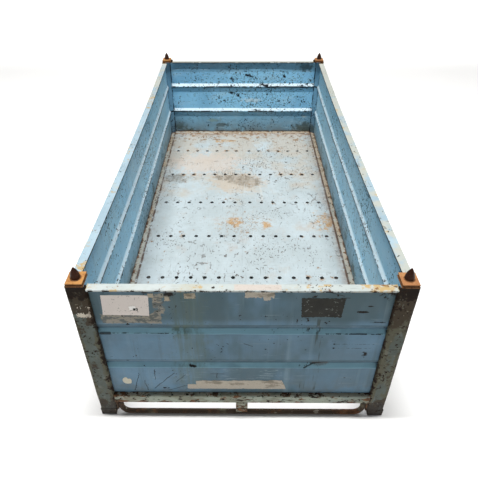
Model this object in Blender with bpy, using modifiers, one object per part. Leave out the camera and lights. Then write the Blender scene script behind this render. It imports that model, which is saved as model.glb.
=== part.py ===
"""Rigid stacking container: a long open-topped steel box on four corner posts.

Folded corner posts carry ribbed sheet walls, flat top rails and channel bottom rails.
A perforated floor lies on cross members. A cone on every post enters the socket in the
foot of the container stacked above. A bent round bar under each end keeps the forks in.

Frame: metres, +Z up, origin on the ground under the middle of the container.
X runs across the short side, Y along the long side, and the front end faces -Y.
"""

from math import cos, pi, radians, sin

import bmesh
import bpy
from mathutils import Matrix, Vector

# Driving dimensions
LENGTH = 2.500
WIDTH = 1.200
HEIGHT = 0.800
POST_TOP = 0.740
RAIL_TOP = 0.730
FLOOR_TOP = 0.165
GAP = 0.0003

# Corner posts, folded from plate
POST_LEG = 0.072
POST_PLATE = 0.006
POST_BEND = 0.006
FOOT_HEIGHT = 0.040
FOOT_INNER_TAPER = 0.009
FOOT_OUTER_TAPER = 0.0015
SOCKET_RADIUS = 0.021

# Post caps and stacking cones
CAP_WIDTH = 0.059
CAP_DEPTH = 0.065
CAP_INSET = 0.0045
CAP_TOP = 0.754
CONE_RADIUS = 0.017
CONE_TIP_RADIUS = 0.004
CONE_SIDES = 24
CONE_TIP_ANGLES = (0, 25, 50, 70)
CONE_FLANK_STEPS = 4
CONE_NECK_RISE = 0.003
CONE_HOLE_RADIUS = 0.0176
DRILL_LENGTH = 0.160

# Ribbed wall sheets
SHEET = 0.003
WALL_RECESS = 0.017
RIB_CENTRES = (0.348, 0.545)
RIB_HALF_HEIGHT = 0.022
FRONT_RIB_DROP = 0.027
FRONT_RIB_HALF_HEIGHT = 0.0255
RIB_DEPTH = 0.0115
RIB_STEPS = 8
CORNER_LEG = 0.030
CORNER_STRIP_LENGTH = 0.040

# Top rails; the long ones are bowed inwards in the middle, and their walls with them
TOP_RAIL_WIDTH = 0.0345
TOP_RAIL_THICKNESS = 0.008
SIDE_BOW = 0.014
BOW_START = 0.200
BOW_STEPS = 12

# Bottom rails and cross members, both channels
BOTTOM_RAIL_LOW = 0.084
BOTTOM_RAIL_HIGH = 0.135
BOTTOM_RAIL_FLANGE = 0.040
BOTTOM_RAIL_PLATE = 0.005
CROSS_MEMBER_HEIGHT = 0.060
CROSS_MEMBER_FLANGE = 0.030
CROSS_MEMBER_PLATE = 0.004
CHANNEL_BEND = 0.005

# Floor
FLOOR_PLATE = 0.003
EDGE_STRIP_WIDTH = 0.024
EDGE_STRIP_THICKNESS = 0.003
EDGE_STRIP_CLEARANCE = 0.0015
HOLE_RADIUS = 0.009
HOLE_SIDES = 12
HOLE_PITCH = 0.074
HOLES_PER_HALF_ROW = 7
FIRST_HOLE = 0.048
ROW_PITCH = 0.361
ROWS = 6
ROW_SHIFT = -0.0135

# Bent bar and its fittings under each end
BAR_RADIUS = 0.011
BAR_END_X = 0.5105
BAR_BEND = 0.040
BAR_BEND_STEPS = 6
LUG_HEIGHT = 0.048
LUG_DEPTH = 0.018
LUG_INSET = 0.002
CENTRE_FOOT_WIDTH = 0.049

# Dimensions that follow
HALF_X = WIDTH / 2
HALF_Y = LENGTH / 2
POST_INNER_X = HALF_X - POST_LEG
POST_INNER_Y = HALF_Y - POST_LEG
WALL_X = HALF_X - WALL_RECESS - SHEET
WALL_Y = HALF_Y - WALL_RECESS - SHEET
CAP_X = HALF_X - CAP_INSET - CAP_WIDTH / 2
CAP_Y = HALF_Y - CAP_INSET - CAP_DEPTH / 2
FLOOR_LOW = FLOOR_TOP - FLOOR_PLATE
BAR_Y = HALF_Y - BAR_RADIUS
CORNERS = {
    "front_left": (-1, -1),
    "front_right": (1, -1),
    "rear_left": (-1, 1),
    "rear_right": (1, 1),
}
ENDS = {"front": -1, "rear": 1}
SIDES = {"left": -1, "right": 1}

# A 2D outline is drawn in its object's XY plane and extruded along the object's Z.
ALONG_X = (pi / 2, 0, pi / 2)
ALONG_Y = (pi / 2, 0, 0)
ALONG_Z = (0, 0, 0)


def clear_scene():
    for old in list(bpy.data.objects):
        bpy.data.objects.remove(old, do_unlink=True)


def new_collection(name):
    collection = bpy.data.collections.new(name)
    bpy.context.scene.collection.children.link(collection)
    return collection


def paint(name, colour, roughness, metallic=0.0):
    """A Principled material of one colour."""
    material = bpy.data.materials.new(name)
    material.use_nodes = True
    shader = material.node_tree.nodes["Principled BSDF"]
    shader.inputs["Base Color"].default_value = (*colour, 1.0)
    shader.inputs["Roughness"].default_value = roughness
    shader.inputs["Metallic"].default_value = metallic
    return material


def finish(name, data, material, location=(0, 0, 0), rotation=(0, 0, 0)):
    """Makes one named sub-part from its mesh or curve and parents it to the container."""
    part = bpy.data.objects.new(name, data)
    part.location = location
    part.rotation_euler = rotation
    part.parent = container
    data.materials.append(material)
    parts.objects.link(part)
    return part


def mesh_from(name, build):
    """A mesh that build(bm) fills."""
    mesh = bpy.data.meshes.new(name)
    bm = bmesh.new()
    build(bm)
    bmesh.ops.recalc_face_normals(bm, faces=bm.faces[:])
    bm.to_mesh(mesh)
    bm.free()
    return mesh


def box(name, low, high, material, bevel=0.0):
    """A block between two corners, with its edges rounded by a Bevel modifier."""
    low, high = Vector(low), Vector(high)

    def build(bm):
        bmesh.ops.create_cube(bm, size=1.0)
        bmesh.ops.scale(bm, vec=high - low, verts=bm.verts[:])

    part = finish(name, mesh_from(name, build), material, (low + high) / 2)
    if bevel:
        edge = part.modifiers.new("edges", "BEVEL")
        edge.width = bevel
        edge.segments = 1
    return part


def outline(name, rings, thickness, material, location, rotation):
    """A flat outline, with any further rings as holes, extruded to a thickness."""
    curve = bpy.data.curves.new(name, "CURVE")
    curve.dimensions = "2D"
    curve.fill_mode = "BOTH"
    curve.extrude = thickness / 2
    for ring in rings:
        spline = curve.splines.new("POLY")
        spline.points.add(len(ring) - 1)
        for point, (u, v) in zip(spline.points, ring):
            point.co = (u, v, 0, 1)
        spline.use_cyclic_u = True
    return finish(name, curve, material, location, rotation)


def rounded_path(points, radius, steps):
    """The path through the points with every bend turned into an arc, as (point, side)."""
    points = [Vector(p) for p in points]
    path = []
    for before, here, after in zip(points, points[1:], points[2:]):
        going, leaving = (here - before).normalized(), (after - here).normalized()
        turn = going.angle_signed(leaving)
        reach = radius * abs(sin(turn / 2) / cos(turn / 2))
        start = here - going * reach
        side = going.orthogonal()
        centre = start - side * radius if turn > 0 else start + side * radius
        for step in range(steps + 1):
            bend = Matrix.Rotation(-turn * step / steps, 2)
            path.append((centre + bend @ (start - centre), bend @ side))
    first = (points[1] - points[0]).normalized().orthogonal()
    last = (points[-1] - points[-2]).normalized().orthogonal()
    return [(points[0], first), *path, (points[-1], last)]


def bent_plate(points, plate, radius, steps=3):
    """The outline of a plate folded along a middle line."""
    path = rounded_path(points, radius, steps)
    left = [point + side * plate / 2 for point, side in path]
    right = [point - side * plate / 2 for point, side in path]
    return [tuple(p) for p in left + right[::-1]]


def channel(inner, outer, low, high, plate):
    """A channel's outline, its back at outer and its flanges reaching to inner."""
    back = outer - plate / 2 if outer > inner else outer + plate / 2
    middle = [
        (inner, low + plate / 2),
        (back, low + plate / 2),
        (back, high - plate / 2),
        (inner, high - plate / 2),
    ]
    return bent_plate(middle, plate, CHANNEL_BEND)


def corner_posts(material):
    """Angles folded with a short return lip that ends on each wall sheet."""
    middle_x = HALF_X - POST_PLATE / 2
    middle_y = HALF_Y - POST_PLATE / 2
    lip_x = POST_INNER_X + POST_PLATE / 2
    lip_y = POST_INNER_Y + POST_PLATE / 2
    length = POST_TOP - FOOT_HEIGHT
    for corner, (x, y) in CORNERS.items():
        middle = [
            (x * lip_x, y * (WALL_Y + SHEET + GAP)),
            (x * lip_x, y * middle_y),
            (x * middle_x, y * middle_y),
            (x * middle_x, y * lip_y),
            (x * (WALL_X + SHEET + GAP), y * lip_y),
        ]
        ring = bent_plate(middle, POST_PLATE, POST_BEND)
        height = FOOT_HEIGHT + length / 2
        outline(f"post_{corner}", [ring], length, material, (0, 0, height), ALONG_Z)


def corner_strips(material):
    """Flat strips set at 45 degrees across the inside corners, closing the posts."""
    low = FLOOR_TOP + GAP
    high = POST_TOP - GAP
    offset = SHEET / 2 * sin(pi / 4)
    for corner, (x, y) in CORNERS.items():
        centre_x = x * (WALL_X - CORNER_LEG / 2 + offset)
        centre_y = y * (WALL_Y - CORNER_LEG / 2 + offset)
        size = (CORNER_STRIP_LENGTH / 2, SHEET / 2, (high - low) / 2)
        strip = box(f"corner_strip_{corner}", [-s for s in size], size, material)
        strip.location = (centre_x, centre_y, (low + high) / 2)
        strip.rotation_euler.z = -x * y * pi / 4


def drill(part, place, radius):
    """A round vertical hole right through a part."""
    bpy.ops.mesh.primitive_cylinder_add(
        vertices=CONE_SIDES, radius=radius, depth=DRILL_LENGTH, location=place
    )
    cutter = bpy.context.object
    cutter.name = f"{part.name}_cutter"
    cutter.hide_render = True
    cutter.display_type = "WIRE"
    for collection in list(cutter.users_collection):
        collection.objects.unlink(cutter)
    cutters.objects.link(cutter)
    hole = part.modifiers.new("hole", "BOOLEAN")
    hole.operation = "DIFFERENCE"
    hole.object = cutter


def caps_and_cones(cap_material, cone_material):
    """Plates on the post tops, each with a hole that its cone is welded into."""
    for corner, (x, y) in CORNERS.items():
        low = (x * CAP_X - CAP_WIDTH / 2, y * CAP_Y - CAP_DEPTH / 2, POST_TOP + GAP)
        high = (x * CAP_X + CAP_WIDTH / 2, y * CAP_Y + CAP_DEPTH / 2, CAP_TOP)
        cap = box(f"cap_plate_{corner}", low, high, cap_material, bevel=0.001)
        drill(cap, (x * CAP_X, y * CAP_Y, CAP_TOP), CONE_HOLE_RADIUS)
        stacking_cone(f"stacking_cone_{corner}", (x * CAP_X, y * CAP_Y), cone_material)


def stacking_cone(name, place, material):
    """A turned cone with bulging flanks and a rounded tip, on a neck that fills the cap's hole."""
    base = POST_TOP + GAP
    height = HEIGHT - base
    neck = CAP_TOP - base + CONE_NECK_RISE
    profile = [
        (CONE_TIP_RADIUS * sin(angle), height - CONE_TIP_RADIUS * (1 - cos(angle)))
        for angle in map(radians, CONE_TIP_ANGLES)
    ]
    for step in range(CONE_FLANK_STEPS - 1, 0, -1):
        share = step / CONE_FLANK_STEPS
        radius = CONE_RADIUS - (CONE_RADIUS - CONE_TIP_RADIUS) * share ** 2
        profile.append((radius, neck + (height - CONE_TIP_RADIUS - neck) * share))
    profile += [(CONE_RADIUS, neck), (CONE_RADIUS, 0), (0, 0)]
    mesh = bpy.data.meshes.new(name)
    points = [(radius, 0, z) for radius, z in profile]
    edges = [(i, i + 1) for i in range(len(points) - 1)]
    mesh.from_pydata(points, edges, [])
    cone = finish(name, mesh, material, (*place, base))
    screw = cone.modifiers.new("turn", "SCREW")
    screw.steps = CONE_SIDES
    screw.render_steps = CONE_SIDES
    screw.use_merge_vertices = True
    screw.merge_threshold = 0.0001
    screw.use_smooth_shade = True


def post_feet(material):
    """Tapered blocks under the posts, each with a socket for the cone of the one below."""
    for corner, (x, y) in CORNERS.items():
        top = FOOT_HEIGHT - GAP
        inner_x, inner_y = POST_INNER_X, POST_INNER_Y

        def build(bm, x=x, y=y):
            bmesh.ops.create_cube(bm, size=1.0)
            for vert in bm.verts:
                taper = 1 if vert.co.z < 0 else 0
                outward = vert.co.x > 0
                along_x = HALF_X - taper * FOOT_OUTER_TAPER
                if not outward:
                    along_x = inner_x + taper * FOOT_INNER_TAPER
                outward = vert.co.y > 0
                along_y = HALF_Y - taper * FOOT_OUTER_TAPER
                if not outward:
                    along_y = inner_y + taper * FOOT_INNER_TAPER
                vert.co = (x * along_x, y * along_y, 0 if taper else top)

        foot = finish(f"post_foot_{corner}", mesh_from(f"foot_{corner}", build), material)
        drill(foot, (x * CAP_X, y * CAP_Y, 0), SOCKET_RADIUS)


def ribs_of(wall):
    """The middle heights of a wall's ribs, and half their height. The front's lie lower."""
    if wall == "front":
        return [centre - FRONT_RIB_DROP for centre in RIB_CENTRES], FRONT_RIB_HALF_HEIGHT
    return RIB_CENTRES, RIB_HALF_HEIGHT


def wall_heights(wall):
    """Heights of a wall's cross-section lines, closer together over the ribs."""
    heights = [BOTTOM_RAIL_HIGH + GAP, BOW_START]
    centres, half_height = ribs_of(wall)
    for centre in centres:
        for step in range(RIB_STEPS + 1):
            heights.append(centre + half_height * (2 * step / RIB_STEPS - 1))
    heights.append(RAIL_TOP - TOP_RAIL_THICKNESS - GAP)
    return sorted(heights)


def rib_depth(wall, height):
    """How far a rib stands into the container at this height."""
    centres, half_height = ribs_of(wall)
    for centre in centres:
        away = abs(height - centre) / half_height
        if away < 1:
            return RIB_DEPTH * (1 + cos(pi * away)) / 2
    return 0.0


def bow(along, height):
    """How far a long wall is bowed inwards, at a share of its half length and a height."""
    rise = min(1, max(0, (height - BOW_START) / (RAIL_TOP - BOW_START)))
    return SIDE_BOW * (1 - along * along) * rise


def ribbed_sheet(wall, material, half_length, steps, place):
    """A sheet with ribs pressed inwards. place(along, depth, height) gives each point."""
    name = f"wall_{wall}"
    heights = wall_heights(wall)
    rows = len(heights) - 1

    def build(bm):
        bmesh.ops.create_grid(bm, x_segments=steps, y_segments=rows, size=0.5)
        for vert in bm.verts:
            along = 2 * vert.co.x
            height = heights[round((vert.co.y + 0.5) * rows)]
            vert.co = place(along * half_length, rib_depth(wall, height), height)

    sheet = finish(name, mesh_from(name, build), material)
    thickness = sheet.modifiers.new("thickness", "SOLIDIFY")
    thickness.thickness = SHEET
    thickness.offset = 0
    thickness.use_even_offset = True


def walls(material):
    end_half = WALL_X - CORNER_LEG
    side_half = WALL_Y - CORNER_LEG
    for end, y in ENDS.items():

        def place(along, depth, height, y=y):
            return (along, y * (WALL_Y + SHEET / 2 - depth), height)

        ribbed_sheet(end, material, end_half, 1, place)
    for side, x in SIDES.items():

        def place(along, depth, height, x=x):
            inward = depth + bow(along / side_half, height)
            return (x * (WALL_X + SHEET / 2 - inward), along, height)

        ribbed_sheet(side, material, side_half, BOW_STEPS, place)


def top_rails(material):
    """Flat bars on the wall sheets, flush with the posts outside."""
    height = RAIL_TOP - TOP_RAIL_THICKNESS / 2
    half = POST_INNER_X - GAP
    for end, y in ENDS.items():
        inner, outer = y * (HALF_Y - TOP_RAIL_WIDTH), y * HALF_Y
        ring = [(-half, inner), (half, inner), (half, outer), (-half, outer)]
        name = f"top_rail_{end}"
        outline(name, [ring], TOP_RAIL_THICKNESS, material, (0, 0, height), ALONG_Z)
    half = POST_INNER_Y - GAP
    shares = [2 * step / BOW_STEPS - 1 for step in range(BOW_STEPS + 1)]
    for side, x in SIDES.items():
        outer = [(x * (HALF_X - bow(s, RAIL_TOP)), s * half) for s in shares]
        inner = [(u - x * TOP_RAIL_WIDTH, v) for u, v in reversed(outer)]
        name = f"top_rail_{side}"
        ring = outer + inner
        outline(name, [ring], TOP_RAIL_THICKNESS, material, (0, 0, height), ALONG_Z)


def bottom_rails(material):
    """Channels between the posts, their backs flush with the posts outside."""
    low, high, plate = BOTTOM_RAIL_LOW, BOTTOM_RAIL_HIGH, BOTTOM_RAIL_PLATE
    for end, y in ENDS.items():
        ring = channel(y * (HALF_Y - BOTTOM_RAIL_FLANGE), y * HALF_Y, low, high, plate)
        length = 2 * (POST_INNER_X - GAP)
        outline(f"bottom_rail_{end}", [ring], length, material, (0, 0, 0), ALONG_X)
    for side, x in SIDES.items():
        ring = channel(x * (HALF_X - BOTTOM_RAIL_FLANGE), x * HALF_X, low, high, plate)
        length = 2 * (POST_INNER_Y - GAP)
        outline(f"bottom_rail_{side}", [ring], length, material, (0, 0, 0), ALONG_Y)


def row_places():
    """Where along the floor the rows of holes lie."""
    return [ROW_SHIFT + ROW_PITCH * (row - (ROWS - 1) / 2) for row in range(ROWS)]


def circle(centre_u, centre_v, radius, sides):
    turns = [2 * pi * step / sides for step in range(sides)]
    return [(centre_u + radius * cos(t), centre_v + radius * sin(t)) for t in turns]


def floor_plates(material):
    """Two perforated plates that meet along the middle of the floor."""
    middle = FLOOR_TOP - FLOOR_PLATE / 2
    inner, outer, end = GAP / 2, WALL_X - GAP, WALL_Y - GAP
    for side, x in SIDES.items():
        rings = [[(x * inner, -end), (x * outer, -end), (x * outer, end), (x * inner, end)]]
        for row in row_places():
            for hole in range(HOLES_PER_HALF_ROW):
                across = x * (FIRST_HOLE + HOLE_PITCH * hole)
                rings.append(circle(across, row, HOLE_RADIUS, HOLE_SIDES))
        name = f"floor_plate_{side}"
        outline(name, rings, FLOOR_PLATE, material, (0, 0, middle), ALONG_Z)


def edge_strips(material):
    """Flat strips on the floor along the foot of each wall."""
    low = FLOOR_TOP + GAP
    high = low + EDGE_STRIP_THICKNESS
    half = WALL_Y - CORNER_LEG - EDGE_STRIP_CLEARANCE
    for side, x in SIDES.items():
        inner, outer = sorted((x * (WALL_X - EDGE_STRIP_WIDTH), x * (WALL_X - GAP)))
        box(f"edge_strip_{side}", (inner, -half, low), (outer, half, high), material)
    half = WALL_X - CORNER_LEG - EDGE_STRIP_CLEARANCE
    for end, y in ENDS.items():
        inner, outer = sorted((y * (WALL_Y - EDGE_STRIP_WIDTH), y * (WALL_Y - GAP)))
        box(f"edge_strip_{end}", (-half, inner, low), (half, outer, high), material)


def cross_members(material):
    """Channels under the floor, halfway between the rows of holes."""
    high = FLOOR_LOW - GAP
    low = high - CROSS_MEMBER_HEIGHT
    length = 2 * (HALF_X - BOTTOM_RAIL_FLANGE - 2 * GAP)
    half_flange = CROSS_MEMBER_FLANGE / 2
    ring = channel(-half_flange, half_flange, low, high, CROSS_MEMBER_PLATE)
    first = row_places()[0] - ROW_PITCH / 2
    for number in range(ROWS + 1):
        place = (0, first + number * ROW_PITCH, 0)
        outline(f"cross_member_{number + 1}", [ring], length, material, place, ALONG_X)


def bar_path():
    """The bent bar's middle line: down, along the ground and up, with round bends."""
    top = BOTTOM_RAIL_LOW - 2 * GAP
    corners = [
        (-BAR_END_X, top),
        (-BAR_END_X, BAR_RADIUS),
        (BAR_END_X, BAR_RADIUS),
        (BAR_END_X, top),
    ]
    return [point for point, _ in rounded_path(corners, BAR_BEND, BAR_BEND_STEPS)]


def skid_bars(bar_material, fitting_material):
    """A bent bar under each end, a lug beside each of its ends and a foot at its middle."""
    for end, y in ENDS.items():
        curve = bpy.data.curves.new(f"skid_bar_{end}", "CURVE")
        curve.dimensions = "3D"
        curve.bevel_depth = BAR_RADIUS
        curve.bevel_resolution = 4
        curve.use_fill_caps = True
        path = bar_path()
        spline = curve.splines.new("POLY")
        spline.points.add(len(path) - 1)
        for point, (u, v) in zip(spline.points, path):
            point.co = (u, y * BAR_Y, v, 1)
        finish(f"skid_bar_{end}", curve, bar_material)

        outer, inner = y * HALF_Y, y * (HALF_Y - 2 * BAR_RADIUS)
        low = (-CENTRE_FOOT_WIDTH / 2, min(inner, outer), 2 * BAR_RADIUS + GAP)
        high = (CENTRE_FOOT_WIDTH / 2, max(inner, outer), BOTTOM_RAIL_LOW - GAP)
        box(f"centre_foot_{end}", low, high, fitting_material, bevel=0.001)

        for side, x in SIDES.items():
            near = x * (BAR_END_X + BAR_RADIUS + GAP)
            far = x * (POST_INNER_X - GAP)
            outer = y * (HALF_Y - LUG_INSET)
            inner = outer - y * LUG_DEPTH
            high_z = BOTTOM_RAIL_LOW - GAP
            low = (min(near, far), min(inner, outer), high_z - LUG_HEIGHT)
            high = (max(near, far), max(inner, outer), high_z)
            box(f"bar_lug_{end}_{side}", low, high, fitting_material)


clear_scene()
parts = new_collection("stacking_container")
cutters = new_collection("cutters")
container = bpy.data.objects.new("container", None)
parts.objects.link(container)

wall_blue = paint("wall_blue", (0.12, 0.24, 0.36), 0.5)
rail_pale = paint("rail_pale", (0.60, 0.68, 0.70), 0.5)
post_green = paint("post_green", (0.14, 0.18, 0.16), 0.6)
floor_pale = paint("floor_pale", (0.55, 0.62, 0.66), 0.55)
frame_grey = paint("frame_grey", (0.17, 0.20, 0.20), 0.6)
strip_rusty = paint("strip_rusty", (0.42, 0.40, 0.34), 0.7)
cap_rust = paint("cap_rust", (0.45, 0.22, 0.08), 0.8)
cone_rust = paint("cone_rust", (0.05, 0.02, 0.012), 0.7, metallic=0.3)
bar_brown = paint("bar_brown", (0.05, 0.025, 0.018), 0.6, metallic=0.3)

corner_posts(post_green)
corner_strips(wall_blue)
caps_and_cones(cap_rust, cone_rust)
post_feet(post_green)
walls(wall_blue)
top_rails(rail_pale)
bottom_rails(frame_grey)
floor_plates(floor_pale)
edge_strips(strip_rusty)
cross_members(frame_grey)
skid_bars(bar_brown, frame_grey)
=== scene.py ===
"""The looks of the steel stacking container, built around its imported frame.

Every CAD node is replaced by a finer piece of the same size in the same place. Materials
are procedural and work in the row frame's metres. Small dents only go inwards.
"""

from functools import partialmethod
from math import cos, exp, pi, radians, sin, sqrt
from random import Random

import bmesh
import bpy
from mathutils import Matrix, Vector, noise


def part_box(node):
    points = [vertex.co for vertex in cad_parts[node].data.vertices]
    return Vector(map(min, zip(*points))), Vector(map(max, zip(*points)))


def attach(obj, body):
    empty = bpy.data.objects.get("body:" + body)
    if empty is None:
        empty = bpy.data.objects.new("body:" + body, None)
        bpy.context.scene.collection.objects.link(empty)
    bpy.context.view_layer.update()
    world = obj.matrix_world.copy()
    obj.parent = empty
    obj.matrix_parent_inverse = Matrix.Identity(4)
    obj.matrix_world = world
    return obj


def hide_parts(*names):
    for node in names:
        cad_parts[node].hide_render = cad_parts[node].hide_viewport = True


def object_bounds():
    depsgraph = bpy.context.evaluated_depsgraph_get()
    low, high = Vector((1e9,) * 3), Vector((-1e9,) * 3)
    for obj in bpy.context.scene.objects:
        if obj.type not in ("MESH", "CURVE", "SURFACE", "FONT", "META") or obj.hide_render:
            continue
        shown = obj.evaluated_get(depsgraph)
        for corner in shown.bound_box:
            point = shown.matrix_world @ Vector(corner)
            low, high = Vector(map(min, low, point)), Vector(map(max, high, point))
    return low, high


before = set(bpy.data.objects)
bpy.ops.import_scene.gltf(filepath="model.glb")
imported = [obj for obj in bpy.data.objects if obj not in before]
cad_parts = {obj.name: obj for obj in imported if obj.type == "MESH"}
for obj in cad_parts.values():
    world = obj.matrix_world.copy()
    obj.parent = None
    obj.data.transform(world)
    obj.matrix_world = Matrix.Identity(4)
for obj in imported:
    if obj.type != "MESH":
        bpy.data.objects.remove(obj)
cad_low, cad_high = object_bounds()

CORNERS = {
    "front_left": (-1, -1),
    "front_right": (1, -1),
    "rear_left": (-1, 1),
    "rear_right": (1, 1),
}
ENDS = {"front": -1, "rear": 1}
SIDES = {"left": -1, "right": 1}

# Places read from the frame
HALF_X = cad_high.x
HALF_Y = cad_high.y
POST_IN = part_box("post_rear_right")[0]
POST_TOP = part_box("post_rear_right")[1].z
WALL_OUT_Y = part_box("wall_rear")[1].y
WALL_OUT_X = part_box("wall_right")[1].x
WALL_LOW, WALL_HIGH = (point.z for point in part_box("wall_rear"))
END_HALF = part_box("wall_rear")[1].x
SIDE_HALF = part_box("wall_right")[1].y
STRIP_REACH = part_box("corner_strip_rear_right")[1].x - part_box("corner_strip_rear_right")[0].x
RAIL_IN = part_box("top_rail_rear")[0].y
RAIL_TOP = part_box("top_rail_rear")[1].z
RAIL_WIDTH = HALF_Y - RAIL_IN
SIDE_BOW = HALF_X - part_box("top_rail_right")[0].x - RAIL_WIDTH
CAP_IN, CAP_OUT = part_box("cap_plate_rear_right")
CAP_CENTRE = (CAP_IN + CAP_OUT) / 2
CONE_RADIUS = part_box("stacking_cone_rear_right")[1].x - CAP_CENTRE.x

# Sizes that a node's box doesn't give, as the CAD has them
SHEET = 0.003
POST_PLATE = 0.006
POST_BEND = 0.006
RIB_CENTRES = (0.348, 0.545)
RIB_HALF_HEIGHT = 0.022
RIB_DEPTH = 0.0115
CREST_DROP = 0.0025
FRONT_RIB_DROP = 0.027
FRONT_RIB_HALF_HEIGHT = 0.0255
BOW_START = 0.2
BOTTOM_RAIL_PLATE = 0.005
CROSS_PLATE = 0.004
CHANNEL_BEND = 0.005
HOLE_RADIUS = 0.009
FIRST_HOLE = 0.048
HOLE_PITCH = 0.074
HOLES_PER_HALF_ROW = 7
ROW_PITCH = 0.361
ROW_SHIFT = -0.0135
ROWS = 6
SOCKET_RADIUS = 0.021
CONE_HOLE_GAP = 0.0006
CONE_NECK_RISE = 0.003
CAP_GROOVE = (0.742, 0.749)
BAR_BEND = 0.04

# Small sizes that only the looks have
GROOVE_DEPTH = 0.0018
GROOVE_SLOPE = 0.001
FOOT_TAPER_OUT, FOOT_TAPER_IN = 0.0015, 0.009
CONE_TIP = 0.0042
CLOSE_GAP = 0.0003
SCAR_HEIGHT = 0.496
FLOOR_RIM = 0.5505
FLOOR_SEAM = 0.0001
HOLE_CELL = 0.018
DENT_FADE = 0.06
SAG_X, SAG_Y, SAG_FADE = 0.54, 1.19, 0.08
CAP_BEAD, RAIL_BEAD, POST_BEAD = 0.0019, 0.0022, 0.0021
CAP_BEAD_RISE, CAP_BEAD_INSET = 0.0009, 0.0004
CONE_BEAD_GAP = 0.0008
RAIL_BEAD_DROP = 0.0006
POST_BEAD_INSET = 0.0034
BEAD_STEP = 0.0022
BEAD_LUMPS = 0.55
PAPER_THICKNESS = 0.0004
FLOOR_REACH = 40

# Steps of the grids and lofts
WALL_ROWS, RIB_ROWS = 12, 26
END_COLUMNS, SIDE_COLUMNS = 90, 170
POST_STEPS, STRIP_STEPS, MEMBER_STEPS = 48, 40, 40
RAIL_STEPS_PER_METRE = 150
HOLE_CELL_STEPS = 8
BLOCK_SIDE_STEPS = 12


# Materials


class Value:
    """A node's output, with arithmetic: | is the larger of two and & the smaller."""

    def __init__(self, shade, socket):
        self.shade = shade
        self.socket = socket

    def math(self, operation, *others):
        return self.shade.value("ShaderNodeMath", (self, *others), operation=operation)

    __add__ = partialmethod(math, "ADD")
    __sub__ = partialmethod(math, "SUBTRACT")
    __mul__ = partialmethod(math, "MULTIPLY")
    __or__ = partialmethod(math, "MAXIMUM")
    __and__ = partialmethod(math, "MINIMUM")
    __abs__ = partialmethod(math, "ABSOLUTE")

    def __rsub__(self, other):
        return self.shade.value("ShaderNodeMath", (other, self), operation="SUBTRACT")

    def spread(self, low, high, to_low=0, to_high=1):
        """low to high, eased and clamped, as to_low to to_high."""
        inputs = (self, low, high, to_low, to_high)
        return self.shade.value("ShaderNodeMapRange", inputs, interpolation_type="SMOOTHSTEP")


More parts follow.
